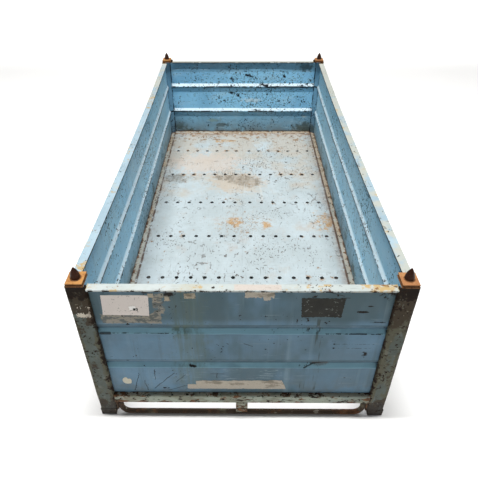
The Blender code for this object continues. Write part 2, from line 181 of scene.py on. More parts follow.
class Shade:
    """A node material being built. Its layers lie over each other in the order of coat()."""

    def __init__(self, name, base, seed):
        self.material = bpy.data.materials.new(name)
        self.material.use_nodes = True
        self.tree = self.material.node_tree
        self.draw = Random(seed)
        self.colour = base
        self.places = {}
        self.where = self.value("ShaderNodeTexCoord", (), "Object")
        self.x, self.y, self.z = self.parts(self.where)
        self.up = self.parts(self.value("ShaderNodeNewGeometry", (), "Normal"))[2]
        self.waver = self.noise(35)

    def feed(self, socket, value):
        if isinstance(value, Value):
            self.tree.links.new(value.socket, socket)
        elif socket.type == "RGBA":
            socket.default_value = (*value, 1)
        else:
            socket.default_value = value

    def value(self, kind, inputs, output=0, **settings):
        """Adds a node, sets or links its inputs, and gives one output."""
        node = self.tree.nodes.new(kind)
        for key, setting in settings.items():
            setattr(node, key, setting)
        for key, given in inputs.items() if isinstance(inputs, dict) else enumerate(inputs):
            self.feed(node.inputs[key], given)
        return Value(self, node.outputs[output])

    def parts(self, vector):
        node = self.value("ShaderNodeSeparateXYZ", (vector,)).socket.node
        return [Value(self, socket) for socket in node.outputs]

    def mixed(self, mask, under, over):
        return self.value("ShaderNodeMix", {0: mask, 6: under, 7: over}, 2, data_type="RGBA")

    def coat(self, mask, colour, share=1):
        """Lays a colour over what is there, where the mask is above 0."""
        self.colour = self.mixed(mask * share if share < 1 else mask, self.colour, colour)

    def noise(self, scale, detail=4, rough=0.65, stretch=(1, 1, 1)):
        """Noise of about 0.5 whose lumps are about 1 / scale metres wide."""
        if stretch not in self.places:
            shift = tuple(self.draw.uniform(5, 25) for _ in range(3))
            self.places[stretch] = self.value("ShaderNodeVectorMath", (self.where, stretch, shift),
                                              operation="MULTIPLY_ADD")
        inputs = {"Vector": self.places[stretch], "Detail": detail, "Roughness": rough,
                  "Scale": scale * self.draw.uniform(0.93, 1.07)}
        return self.value("ShaderNodeTexNoise", inputs)

    def patches(self, scale, low, high, stretch=(1, 1, 1), detail=4):
        return self.noise(scale, detail, stretch=stretch).spread(low, high)

    def stain(self, scale, low, high, colour, share=1, stretch=(1, 1, 1)):
        """Lays patches of a colour. From low to high, their noise goes from bare to covered."""
        self.coat(self.patches(scale, low, high, stretch), colour, share)

    def mottle(self, dark, scale):
        """Paint that has faded unevenly, broadly and finely."""
        self.stain(scale, 0.64, 0.38, dark)
        self.stain(45, 0.45, 0.75, dark, 0.35)

    def flecks(self, scale, share, crowd=0, stretch=(1, 1, 1)):
        """Small sharp spots. share is about how much of the surface they take, and they are
        rarer still below 0. crowd, if given, is how many crowds of them there are in a metre."""
        spots = self.noise(scale, 2, 0.6, stretch)
        if crowd:
            spots += self.noise(crowd, 3).spread(0.42, 0.66, -0.1, 0.06)
        edge = 0.74 - 0.24 * share
        return spots.spread(edge, edge + 0.03)

    def cracks(self, scale, crowd=0, stretch=(1, 1, 1)):
        """Short thin lines that wind about, as where paint has flaked along a scratch."""
        line = abs(self.noise(scale, 2, 0.5, stretch) - 0.5).spread(0.026, 0.012)
        line *= self.patches(scale * 1.4, 0.53, 0.57, detail=2)
        return line * self.patches(crowd, 0.48, 0.58) if crowd else line

    def scratches(self, along_x, along_y, share, scale=9):
        """Thin broken lines along X, along Y, or along both on faces that see only one."""
        stretch = (1 if along_x else 26, 1 if along_y else 26, 26)
        edge = 0.72 - 0.16 * share
        lines = self.noise(scale, 2, 0.5, stretch).spread(edge, edge + 0.025)
        return lines * self.patches(7, 0.44, 0.56)

    def stroke(self, u, v, start, stop, width):
        """1 on a slightly wavering line between two places."""
        run_u, run_v = stop[0] - start[0], stop[1] - start[1]
        length = run_u ** 2 + run_v ** 2
        u = (self.waver - 0.5) * 0.02 + u - start[0]
        v -= start[1]
        along = (u * (run_u / length) + v * (run_v / length) | 0) & 1
        u, v = u - along * run_u, v - along * run_v
        return (u * u + v * v).math("SQRT").spread(width, width * 0.35)

    def inside(self, u, v, low, high, ragged=0.004, soft=0.001):
        """1 inside a rectangle of two coordinates, with a ragged edge."""
        near = (u - low[0]) & (high[0] - u) & (v - low[1]) & (high[1] - v)
        return ((self.waver - 0.5) * (5 * ragged) + near).spread(-soft, soft)

    def around(self, u, v, centre, radii, ragged=0.35):
        """1 at the centre of an ellipse, fading to 0 at its ragged edge."""
        u, v = (u - centre[0]) * (1 / radii[0]), (v - centre[1]) * (1 / radii[1])
        far = (u * u + v * v).math("SQRT")
        return ((self.waver - 0.5) * (5 * ragged) + far).spread(1, 0.45)

    def rust(self, light=(0.42, 0.17, 0.045), mid=(0.16, 0.06, 0.02), dark=(0.045, 0.02, 0.01)):
        """Rust that turns from dark brown to orange."""
        colour = self.mixed(self.patches(28, 0.4, 0.6), dark, mid)
        return self.mixed(self.patches(140, 0.5, 0.66) * 0.7, colour, light)

    def finish(self, rough, height, relief, metallic=0):
        """Connects the results. relief is how high the bump's 0 to 1 stands, in metres."""
        shader = self.tree.nodes["Principled BSDF"]
        shader.inputs["Specular IOR Level"].default_value = 0.2
        bump = self.value("ShaderNodeBump", {"Height": height, "Distance": relief})
        for socket, value in (("Base Color", self.colour), ("Roughness", rough),
                              ("Metallic", metallic), ("Normal", bump)):
            self.feed(shader.inputs[socket], value)
        return self.material


def inner_wall_material(on_ends, seed):
    """The walls' inner faces: light blue, with a painted highlight on the ribs' upper sides and
    painted shade on their undersides and on the corner strips, chipped to dark metal along their
    crests, dirty at the foot and, on the ends, with a painted shadow under the rail."""
    if on_ends:
        shade = Shade("wall_inner_ends", (0.305, 0.64, 0.89), seed)
        shade.mottle((0.215, 0.49, 0.725), 3)
    else:
        shade = Shade("wall_inner_sides", (0.38, 0.74, 0.97), seed)
        shade.mottle((0.28, 0.585, 0.8), 3)
    z, up = shade.z, shade.up
    if not on_ends:
        shade.coat(shade.noise(2.2).spread(0.34, 0.62, 0.15, 0.7), (0.49, 0.74, 0.85))
    shade.stain(5, 0.5, 0.74, (0.46, 0.68, 0.8), 0.45, (1, 1, 2.5))

    drift = shade.noise(9, 5)
    shade.coat(z.spread(0.345, 0.315), (0.13, 0.23, 0.3), 0.5 if on_ends else 0.4)
    grime = z.spread(0.3, 0.165) * drift.spread(0.34, 0.62, 0.15, 0.8)
    shade.coat(grime, (0.15, 0.185, 0.19), 1 if on_ends else 0.75)
    shade.coat(z.spread(0.31, 0.2) * shade.patches(6, 0.54, 0.64), (0.07, 0.085, 0.06), 0.8)
    shade.coat(z.spread(0.19, 0.166) * drift.spread(0.35, 0.5), (0.09, 0.055, 0.03))
    shade.stain(14, 0.58, 0.74, (0.13, 0.19, 0.2), 0.4, (1, 1, 0.12))
    if on_ends:
        # Painted shadow: a dark band along the top of the end walls, under the rail.
        shade.coat(z.spread(0.65, 0.658), (0.03, 0.06, 0.085), 0.35)

    upper = z.math("GREATER_THAN", sum(RIB_CENTRES) / 2)
    above = z - upper * (RIB_CENTRES[1] - RIB_CENTRES[0]) - (RIB_CENTRES[0] - CREST_DROP)
    # Painted highlight: the ribs' upward faces are painted pale, broken up like rubbed paint.
    painted_ledge_highlight = up.spread(0.12, 0.34) * shade.noise(30).spread(0.28, 0.46, 0.55, 0.95)
    if not on_ends:
        painted_ledge_highlight *= above.spread(0.022, 0.014, 0.45, 1)
    shade.coat(painted_ledge_highlight, (0.72, 0.86, 0.93))
    # Painted shade: the ribs' downward faces are painted darker.
    shade.coat(up.spread(-0.1, -0.32), (0.11, 0.21, 0.28), 0.55)

    shade.coat(shade.scratches(on_ends, not on_ends, 0.55), (0.6, 0.78, 0.86), 0.45)
    broken = shade.noise(36, 4, 0.7)
    level = broken + shade.noise(2.6, 3).spread(0.38, 0.62, -0.06, 0.09)
    if not on_ends:
        level = level + upper * shade.y.spread(-0.7, 0.2, 0, 0.13) - 0.02
    chips = abs(above + 0.001).spread(0.008, 0.003) * level.spread(0.46, 0.5)
    chips = chips | shade.flecks(90, 0.38, 3) | shade.flecks(48, 0.34, 4)
    chips = chips | shade.cracks(30, 3) | shade.scratches(on_ends, not on_ends, 0.3, 12) * 0.7
    shade.coat(shade.patches(60, 0.6, 0.72) * broken.spread(0.5, 0.62), (0.25, 0.19, 0.14), 0.5)
    if not on_ends:
        shade.coat(z.spread(0.56, 0.58) * shade.x.spread(-0.2, 0.2), (0.29, 0.56, 0.72), 0.5)
        crowd = shade.around(shade.y, z, (-0.3, 0.52), (0.6, 0.26), 0.5) * shade.x.spread(-1, 0.1)
        chips |= crowd * (shade.flecks(80, 0.26) | shade.cracks(28))
    strip, seams = corner_strip_masks(shade)
    # Painted shade: the strips across the inside corners are painted darker.
    shade.coat(strip, (0.09, 0.19, 0.29), 0.55)
    chips |= seams * broken.spread(0.44, 0.5)
    if on_ends:
        chips |= rear_wall_marks(shade)
    shade.coat(chips, (0.012, 0.015, 0.02))
    rough = shade.noise(20).spread(0.3, 0.7, 0.36, 0.55) | chips * 0.85
    return shade.finish(rough, shade.noise(220, 2) * 0.25 - chips * 0.6, 0.0006)


def corner_strip_masks(shade):
    """1 on the strips across the inside corners, and 1 along their welded edges."""
    gap_x = WALL_OUT_X - SHEET - abs(shade.x)
    gap_y = WALL_OUT_Y - SHEET - abs(shade.y)
    near = (gap_x + gap_y).spread(STRIP_REACH + 0.02, STRIP_REACH + 0.01)
    apart = abs(gap_x - gap_y)
    strip = near * apart.spread(STRIP_REACH - 0.001, STRIP_REACH - 0.004)
    return strip, near * abs(apart - STRIP_REACH).spread(0.006, 0.0025)


def rear_wall_marks(shade):
    """The rear wall's stains and its pale scrape; gives its chips."""
    x, z = shade.x, shade.z
    rear = shade.y.spread(1, 1.1)
    lines = shade.scratches(True, False, 1, 20)
    scrape = shade.around(x, z, (0.07, 0.431), (0.085, 0.022), 0.6) * (lines * 0.5 + 0.5)
    shade.coat(scrape * rear, (0.72, 0.82, 0.86))
    for place, radii, colour in (
        ((-0.238, 0.266), (0.06, 0.016), (0.2, 0.3, 0.28)),
        ((-0.158, 0.226), (0.065, 0.02), (0.07, 0.095, 0.09)),
        ((0.5, 0.205), (0.12, 0.05), (0.06, 0.075, 0.055)),
        ((0.47, 0.69), (0.07, 0.045), (0.05, 0.09, 0.1)),
        ((0.494, 0.298), (0.028, 0.014), (0.4, 0.5, 0.5)),
    ):
        shade.coat(shade.around(x, z, place, radii, 0.5) * rear, colour, 0.75)
    chips = shade.around(x, z, (0.12, 0.53), (0.6, 0.24), 0.3)
    chips *= (shade.flecks(78, 0.46) | shade.cracks(26) | shade.flecks(44, 0.34))
    for place, radii in (
        ((-0.073, 0.6), (0.022, 0.018)), ((0.042, 0.628), (0.024, 0.014)),
        ((0.204, 0.541), (0.07, 0.009)), ((0.47, 0.541), (0.06, 0.007)),
        ((0.11, 0.345), (0.06, 0.006)), ((0.32, 0.62), (0.016, 0.014)),
        ((-0.087, 0.496), (0.036, 0.01)), ((-0.04, 0.47), (0.016, 0.012)),
        ((0.18, 0.552), (0.06, 0.01)), ((0.45, 0.553), (0.05, 0.007)),
        ((0.12, 0.355), (0.05, 0.006)), ((-0.1, 0.543), (0.06, 0.005)),
    ):
        chips |= shade.around(x, z, place, radii, 0.9)
    return chips * rear


def outer_wall_material(on_front, seed):
    """The walls' outer faces: greyer, streaked and scraped. The ribs' slopes carry painted shade
    above their crests and a painted highlight below them, and the dark ragged line under the rail
    is partly painted shadow; the front end has its own marks, and painted shade beside its posts.
    """
    name = "wall_front_outer" if on_front else "wall_outer"
    shade = Shade(name, (0.127, 0.242, 0.35), seed)
    z = shade.z
    along = shade.x if on_front else shade.x + shade.y
    shade.mottle((0.1, 0.175, 0.235), 2.2)
    grey = shade.noise(2.6, stretch=(1, 1, 0.5))
    if on_front:
        grey = grey + along.spread(-0.45, 0, -0.08, 0.05) + along.spread(0.08, 0.4, 0, -0.15)
    shade.coat(grey.spread(0.42, 0.6), (0.074, 0.128, 0.16), 0.9)
    top = z.spread(0.545, 0.58) * grey.spread(0.34, 0.52, 0.35, 0.9)
    shade.coat(top, (0.064, 0.112, 0.132))

    shade.stain(22, 0.5, 0.74, (0.08, 0.12, 0.125), 0.5, (1, 1, 0.06))
    shade.stain(16, 0.54, 0.76, (0.215, 0.33, 0.39), 0.4, (1, 1, 0.06))
    cloud = shade.noise(12)
    grime = z.spread(0.27, 0.14) * cloud.spread(0.42, 0.64, 0, 0.45)
    shade.coat(grime, (0.12, 0.135, 0.13))
    centres, half_height = ribs_of("front" if on_front else "rear")
    # Painted shade above each rib's crest and painted highlight below it; worn only varies their
    # strength, less to the right on the front.
    worn = shade.noise(5).spread(0.35, 0.6, 0.6, 1)
    if on_front:
        worn *= along.spread(-0.3, 0.5, 1, 0.82)
    for centre in centres:
        crest = z - (centre - CREST_DROP)
        upper = crest.spread(-0.002, 0.001) * crest.spread(half_height + 0.004, half_height + 0.001)
        shade.coat(upper * worn, (0.045, 0.085, 0.11), 0.9)
        lower = crest.spread(-0.001, -0.005) * crest.spread(-half_height, -half_height + 0.005)
        shade.coat(lower * worn, (0.225, 0.43, 0.535))

    dashes = shade.noise(30, 3, stretch=(0.55, 0.55, 1))
    chips = abs(z - SCAR_HEIGHT).spread(0.0034, 0.001) * dashes.spread(0.52, 0.56)
    if on_front:
        chips *= abs(along - 0.02).spread(0.24, 0.3)
    chips = chips | shade.flecks(95, 0.18, 3) | shade.flecks(46, 0.12, 4)
    ragged = shade.noise(34, 4, 0.7)
    jagged = z + (ragged - 0.5) * 0.03
    left_more = along.spread(-0.1, 0.3, 0.1, 0)
    # A dark ragged line under the rail: chipped paint, and partly a painted shadow under the rail's
    # edge.
    chips |= jagged.spread(0.711, 0.717) * (ragged + left_more).spread(0.42, 0.5)
    chips |= z.spread(0.14, 0.137) * ragged.spread(0.42, 0.52)
    pale = shade.scratches(True, True, 0.3, 8) * 0.35
    if on_front:
        # Painted shade in the recess beside each front post, ragged like chipped paint.
        painted_shade_beside_posts = abs(along).spread(END_HALF - 0.028, END_HALF - 0.016)
        chips |= painted_shade_beside_posts * ragged.spread(0.43, 0.53)
        scars, scuffs = front_wall_marks(shade)
        chips, pale = chips | scars, pale | scuffs
    shade.coat(pale, (0.26, 0.35, 0.39))
    shade.stain(30, 0.68, 0.76, (0.16, 0.13, 0.09), 0.4)
    shade.coat(chips, (0.016, 0.015, 0.013))
    rough = shade.noise(16).spread(0.3, 0.7, 0.42, 0.66) | (grime | chips) * 0.85
    return shade.finish(rough, shade.noise(200, 2) * 0.25 - chips * 0.6, 0.0006)


def front_wall_marks(shade):
    """Old glue and stains on the front end; gives its cracks and cuts, and its pale scuffs."""
    x, z = shade.x, shade.z
    lumps = shade.noise(70, 4, 0.7, (0.5, 1, 1))
    glue_colour = shade.mixed(lumps.spread(0.46, 0.54), (0.3, 0.265, 0.205), (0.11, 0.115, 0.1))
    bare = shade.patches(28, 0.32, 0.4)
    glue = shade.inside(x, z, (-0.506, 0.549), (-0.29, 0.598), 0.006, 0.003)
    glue |= shade.inside(x, z, (-0.312, 0.6), (-0.276, 0.694), 0.01, 0.003) * bare
    glue |= shade.inside(x, z, (-0.268, 0.664), (-0.25, 0.69), 0.004, 0.002)
    shade.coat(glue, glue_colour, 0.85)
    fibres = shade.noise(70, 2, stretch=(1, 1, 0.05))
    streak = shade.inside(x, z, (-0.262, 0.18), (-0.135, 0.716), 0.03, 0.03)
    shade.coat(streak * fibres.spread(0.4, 0.6, 0.15, 0.45), (0.095, 0.135, 0.1))
    moss = shade.inside(x, z, (-0.25, 0.475), (-0.205, 0.716), 0.012, 0.014)
    shade.coat(moss * fibres.spread(0.36, 0.6, 0.1, 0.6), (0.065, 0.095, 0.055))
    runs = shade.inside(x, z, (0.226, 0.165), (0.3, 0.575), 0.01, 0.008)
    shade.coat(runs * fibres.spread(0.52, 0.6, 0, 0.75), (0.045, 0.062, 0.055))
    shade.coat(shade.around(x, z, (0.31, 0.318), (0.04, 0.012), 0.6), (0.12, 0.08, 0.045), 0.5)

    scars = shade.inside(x, z, (0.3, 0.4935), (0.528, 0.4975), 0.002, 0.001)
    cuts = (0.44, 0.417)
    for level in cuts:
        scars |= shade.inside(x, z, (0.345, level - 0.001), (0.505, level + 0.001), 0.001) * 0.7
    scars |= shade.inside(x, z, (-0.487, 0.4945), (-0.27, 0.497), 0.001)
    scars *= shade.patches(90, 0.48, 0.52)
    for level in cuts:
        scars |= shade.around(x, z, (0.347, level), (0.0055, 0.0055), 0.1)
    for place, radii in (
        ((-0.262, 0.694), (0.026, 0.018)), ((0.425, 0.612), (0.022, 0.006)),
        ((0.515, 0.702), (0.036, 0.022)), ((0.49, 0.56), (0.026, 0.003)),
        ((-0.193, 0.303), (0.018, 0.007)),
        ((-0.335, 0.706), (0.02, 0.007)), ((0.45, 0.64), (0.014, 0.004)),
        ((0.47, 0.378), (0.012, 0.014)), ((0.41, 0.235), (0.008, 0.01)),
    ):
        scars |= shade.around(x, z, place, radii, 0.9)
    for start, stop, width in (
        ((0.244, 0.298), (0.28, 0.315), 0.0034), ((0.27, 0.314), (0.332, 0.324), 0.0044),
        ((-0.52, 0.4945), (-0.487, 0.4945), 0.0085), ((-0.412, 0.262), (-0.441, 0.15), 0.0023),
        ((-0.272, 0.262), (-0.359, 0.162), 0.0023), ((-0.346, 0.285), (-0.351, 0.22), 0.0019),
        ((-0.225, 0.25), (-0.265, 0.205), 0.0016), ((-0.395, 0.215), (-0.385, 0.15), 0.0017),
        ((-0.3, 0.15), (-0.225, 0.182), 0.0016), ((0.01, 0.44), (0.04, 0.425), 0.0018),
        ((0.3, 0.708), (0.352, 0.69), 0.0024), ((0.345, 0.681), (0.372, 0.681), 0.0024),
        ((-0.125, 0.258), (-0.07, 0.258), 0.0018), ((-0.1, 0.262), (-0.1, 0.232), 0.0022),
    ):
        scars |= shade.stroke(x, z, start, stop, width) * 0.85
    scuff = shade.around(x, z, (-0.05, 0.25), (0.3, 0.06), 0.7)
    return scars, scuff * shade.scratches(True, True, 0.9, 16) * 0.6


def floor_material(seed):
    """Worn pale paint with rust blooms, dust, winding cracks and dark specks, and painted shade
    in the holes.
    """
    shade = Shade("floor_worn_paint", (0.44, 0.505, 0.53), seed)
    x, y = shade.x, shade.y
    shade.mottle((0.385, 0.44, 0.455), 3.5)
    tan = shade.noise(4.2, 6) + y.spread(-0.2, 1.2, -0.07, 0.17)
    shade.coat(tan.spread(0.5, 0.68), (0.43, 0.4, 0.345), 0.8)
    shade.stain(9, 0.56, 0.72, (0.4, 0.345, 0.305), 0.45)

    streaky = shade.noise(30, 3, stretch=(1, 0.3, 1)).spread(0.35, 0.62, 0.35, 0.9)
    shade.coat(shade.around(x, y, (-0.26, 0.7), (0.34, 0.2), 0.4), (0.52, 0.45, 0.39), 0.75)
    shade.coat(shade.around(x, y, (-0.04, 0.42), (0.25, 0.17), 0.3), (0.47, 0.4, 0.32), 0.8)
    dust = shade.around(x, y, (-0.1, 0.48), (0.12, 0.05), 0.25)
    dust |= shade.around(x, y, (-0.01, 0.455), (0.125, 0.075), 0.2)
    dust |= shade.around(x, y, (0.04, 0.42), (0.105, 0.085), 0.2)
    shade.coat(dust.spread(0, 0.7) * streaky, (0.215, 0.185, 0.145))
    dirt = shade.around(x, y, (-0.45, 0.47), (0.12, 0.07), 0.5) * streaky
    shade.coat(dirt, (0.16, 0.15, 0.13), 0.9)
    shade.coat(shade.stroke(x, y, (0.119, 0.383), (0.13, 0.195), 0.01), (0.52, 0.52, 0.49), 0.5)

    ragged = shade.noise(30, 5, 0.7)
    for place, radii, spread_out in (
        ((-0.045, -0.05), (0.062, 0.062), 0.34), ((0.15, -0.083), (0.034, 0.04), 0.3),
        ((0, -0.07), (0.19, 0.16), 0.54), ((-0.15, 1.06), (0.09, 0.04), 0.36),
        ((0.5, -0.05), (0.09, 0.12), 0.4), ((0.035, -0.905), (0.04, 0.016), 0.3),
    ):
        bloom = shade.around(x, y, place, radii, 0.5)
        solid = bloom * ragged.spread(spread_out, spread_out + 0.2)
        shade.coat(solid, (0.46, 0.26, 0.085), 0.78)
        shade.coat(bloom * shade.patches(110, 0.55, 0.62), (0.21, 0.105, 0.035), 0.75)
    stains = shade.noise(22, 6, 0.74) + y.spread(0.8, 1.2, -0.02, 0.07)
    shade.coat(stains.spread(0.61, 0.64), (0.23, 0.13, 0.06), 0.85)

    out_x = abs(x)
    level = ragged + x.spread(-0.5, 0.5, -0.04, 0.05)
    side = out_x.spread(0.5, 0.556, 0, 0.5) * level.spread(0.44, 0.58)
    ends = abs(y).spread(1.12, 1.225) * y.spread(-0.5, 0.5, 0.5, 0.9) * ragged.spread(0.38, 0.54)
    shade.coat(side | ends,
               shade.mixed(ragged.spread(0.46, 0.62), (0.34, 0.2, 0.1), (0.13, 0.06, 0.028)))
    rim = abs(out_x - FLOOR_RIM).spread(0.0085, 0.002) * level.spread(0.34, 0.46)
    shade.coat(rim, (0.085, 0.045, 0.025), 0.9)

    shade.coat(shade.scratches(True, False, 0.5), (0.5, 0.56, 0.59), 0.4)
    shade.coat(shade.scratches(False, True, 0.7), (0.5, 0.56, 0.59), 0.4)
    marks = shade.scratches(True, False, 0.3, 12) * 0.5
    marks |= shade.scratches(False, True, 0.3, 12) * 0.5
    marks = marks | shade.cracks(30, 1.8, (1, 0.5, 1)) | shade.cracks(16, 2.4, (1, 0.6, 1)) * 0.6
    marks |= shade.flecks(110, 0.3, 3, (1, 0.7, 1))
    marks |= shade.flecks(60, -0.3, 3.5, (1, 0.7, 1))
    crazed = shade.around(x, y, (-0.1, -0.62), (0.32, 0.45), 0.5)
    marks |= shade.cracks(24, 0, (1, 0.5, 1)) * crazed
    shade.coat(marks, (0.06, 0.038, 0.026), 0.9)

    far = hole_distance(shade)
    stained = far.spread(0.03, 0.011) * shade.patches(5, 0.54, 0.6)
    shade.coat(stained * ragged.spread(0.42, 0.56), (0.3, 0.165, 0.065), 0.8)
    # Painted shade: the hole walls are painted near black, fading out over a narrow rim round each
    # hole.
    shade.coat(far.spread(HOLE_RADIUS + 0.0026, HOLE_RADIUS + 0.0008), (0.01, 0.008, 0.007))
    rough = shade.noise(11).spread(0.3, 0.7, 0.42, 0.7) | (side | marks) * 0.9
    return shade.finish(rough, shade.noise(180, 3) * 0.35 - marks * 0.5, 0.0007)


def hole_distance(shade):
    """How far a point of the floor is from the middle of the nearest hole."""
    total = 0
    for place, pitch in ((abs(shade.x) - FIRST_HOLE, HOLE_PITCH),
                         (shade.y - (ROW_SHIFT + ROW_PITCH / 2), ROW_PITCH)):
        offset = place - (place * (1 / pitch)).math("ROUND") * pitch
        total = offset * offset + total
    return total.math("SQRT")


def rail_material(on_ends, seed):
    """The top rails: pale on top, stained yellow and rusty in places, with chipped edges; the dark
    chips on their sides are partly painted shade, and their undersides carry painted shade.
    """
    name, base, dark = ("rail_ends", (0.455, 0.5, 0.5), (0.395, 0.44, 0.43))
    if not on_ends:
        name, base, dark = ("rail_sides", (0.335, 0.45, 0.52), (0.285, 0.385, 0.45))
    shade = Shade(name, base, seed)
    x, y, up = shade.x, shade.y, shade.up
    shade.mottle(dark, 6)
    right = x.spread(0.2, 0.5, 0, 0.03) if on_ends else x.spread(-0.3, 0.3, -0.06, 0.1)
    if not on_ends:
        right += y.spread(0.2, 0.7, 0, 0.12)
    shade.coat((shade.noise(8, 5) + right).spread(0.5, 0.64), (0.42, 0.43, 0.38), 0.85)
    shade.coat(y.spread(1, 1.2), (0.48, 0.5, 0.46), 0.7)
    near_end = (HALF_X - abs(x) if on_ends else HALF_Y - abs(y)).spread(0.26, 0.07)
    worst = x.spread(0, 0.53, 0, 0.05) if on_ends else x.spread(-0.5, 0.5, 0, -0.03)
    yellow = shade.noise(20, 5, 0.7)
    rear = y.spread(1, 1.2, 0, -0.09)
    level = yellow + worst + rear + near_end * 0.035
    shade.coat(level.spread(0.57, 0.66), (0.43, 0.29, 0.105), 0.85)
    ragged = shade.noise(34, 5, 0.7)
    rust = (ragged + worst + rear + near_end * 0.05).spread(0.64, 0.68)
    shade.coat(rust, shade.rust((0.3, 0.13, 0.04)), 0.9)

    # Dark chips on the rails' vertical faces, most on the inner face: chipped paint, and partly
    # painted shade.
    vertical = abs(up).spread(0.85, 0.35)
    inner_edge = (HALF_Y - abs(y) if on_ends else HALF_X - abs(x)).spread(0.02, 0.03)
    outer_edge = (HALF_Y - abs(y) if on_ends else HALF_X - abs(x)).spread(0.007, 0.003)
    chips = vertical * (ragged + inner_edge * 0.12).spread(0.5, 0.56)
    rear_more = y.spread(0.1, 0.6, 0, 0.05)
    worn = outer_edge * (ragged + rear_more).spread(0.52, 0.57)
    chips |= worn * (0.3 if on_ends else 0.9)
    chips = chips | shade.flecks(90, 0.28, 5) | shade.flecks(45, 0.1, 4)
    chips |= shade.scratches(on_ends, not on_ends, 0.35, 12) * 0.5
    shade.coat(chips, (0.026, 0.017, 0.012))
    # Painted shade: the rails' downward faces are painted dark.
    shade.coat(up.spread(-0.3, -0.7), (0.045, 0.055, 0.06), 0.85)
    rough = (rust | chips).spread(0, 1, 0.48, 0.85)
    return shade.finish(rough, shade.noise(190, 3) * 0.3 - chips * 0.5, 0.0006)


def post_material(seed):
    """Grey-green paint with olive and brown edges and rusty chips, nearly black at the top."""
    shade = Shade("post_worn_paint", (0.098, 0.126, 0.112), seed)
    x, z = shade.x, shade.z
    shade.mottle((0.074, 0.09, 0.076), 10)
    edge_gap = post_edge_distance(shade)
    olive = shade.noise(10, 5, stretch=(1, 1, 0.5)) + edge_gap.spread(0.024, 0.004, 0, 0.14)
    olive += x.spread(-0.2, 0.2, 0, 0.09)
    shade.coat(olive.spread(0.54, 0.64), (0.08, 0.075, 0.042), 0.9)
    brown = shade.noise(14, 5, 0.7) + z.spread(0.5, 0.66, 0, 0.24) + z.spread(0.16, 0.08, 0, 0.16)
    shade.coat(brown.spread(0.55, 0.64), (0.034, 0.02, 0.005), 0.95)
    shade.stain(30, 0.54, 0.7, (0.036, 0.028, 0.014), 0.6, (1, 1, 0.1))
    shade.stain(50, 0.58, 0.66, (0.16, 0.17, 0.135), 0.45, (1, 1, 0.6))

    ragged = shade.noise(36, 4, 0.7)
    head = (z + ragged.spread(0.3, 0.7, -0.03, 0.03)).spread(0.682, 0.706)
    foot = (z + ragged.spread(0.3, 0.7, -0.03, 0.03)).spread(0.105, 0.06)
    shade.coat(head | foot * 0.85, (0.014, 0.009, 0.006), 0.96)

    halo = shade.noise(30, 4, 0.75, (1, 1, 1.3)) + edge_gap.spread(0.012, 0.003, 0, 0.085)
    shade.coat(halo.spread(0.59, 0.612), (0.05, 0.022, 0.008), 0.9)
    chips = halo.spread(0.6, 0.62) | shade.flecks(80, 0.46, 8)
    chips |= shade.scratches(True, True, 0.22, 10) * 0.8
    chips |= edge_gap.spread(0.004, 0.0015) * ragged.spread(0.44, 0.54) * 0.75
    shade.coat(chips, (0.016, 0.008, 0.004))
    shade.coat(shade.flecks(55, 0.24, 7), (0.22, 0.19, 0.13), 0.5)
    rough = (chips | head).spread(0, 1, 0.55, 0.88)
    return shade.finish(rough, shade.noise(160, 3) * 0.5 - chips * 0.6, 0.0008)


def post_edge_distance(shade):
    """The distance from a post's outer face to the nearer vertical edge of that face."""
    outer = (HALF_X - abs(shade.x)) | (HALF_Y - abs(shade.y))
    return outer & (HALF_X - POST_IN.x - outer)


def frame_material(seed):
    """Grey-green paint on the rails under the walls and floor, chipped, rusty and dusty."""
    shade = Shade("frame_worn_paint", (0.29, 0.325, 0.265), seed)
    z, up = shade.z, shade.up
    long = (0.5, 0.5, 1)
    shade.stain(12, 0.44, 0.58, (0.175, 0.175, 0.12), 0.8, long)
    shade.stain(5, 0.54, 0.68, (0.15, 0.205, 0.21), 0.5)
    shade.stain(16, 0.52, 0.62, (0.29, 0.28, 0.22), 0.5, (0.25, 0.25, 1.4))
    dust = up.spread(0.55, 0.95) * shade.noise(20, stretch=long).spread(0.4, 0.56, 0.05, 0.9)
    shade.coat(dust, (0.42, 0.39, 0.31))
    ragged = shade.noise(26, 5, 0.72, long)
    edges = z.spread(0.106, 0.088, 0, 0.1) + z.spread(0.124, 0.133, 0, 0.04)
    rust = (ragged + edges + abs(shade.x).spread(0.4, 0.53, 0, 0.09)).spread(0.57, 0.62)
    shade.coat(rust, shade.rust((0.13, 0.06, 0.022)), 0.9)
    chips = shade.flecks(48, 0.46, stretch=long) | shade.flecks(90, 0.42, stretch=long)
    chips |= shade.scratches(True, True, 0.35, 12)
    shade.coat(chips, (0.02, 0.014, 0.009))
    shade.coat(shade.flecks(60, 0.3, stretch=long), (0.33, 0.31, 0.25), 0.5)
    rough = (rust | chips | dust).spread(0, 1, 0.58, 0.88)
    return shade.finish(rough, shade.noise(160, 3) * 0.4 - chips * 0.6, 0.0007)


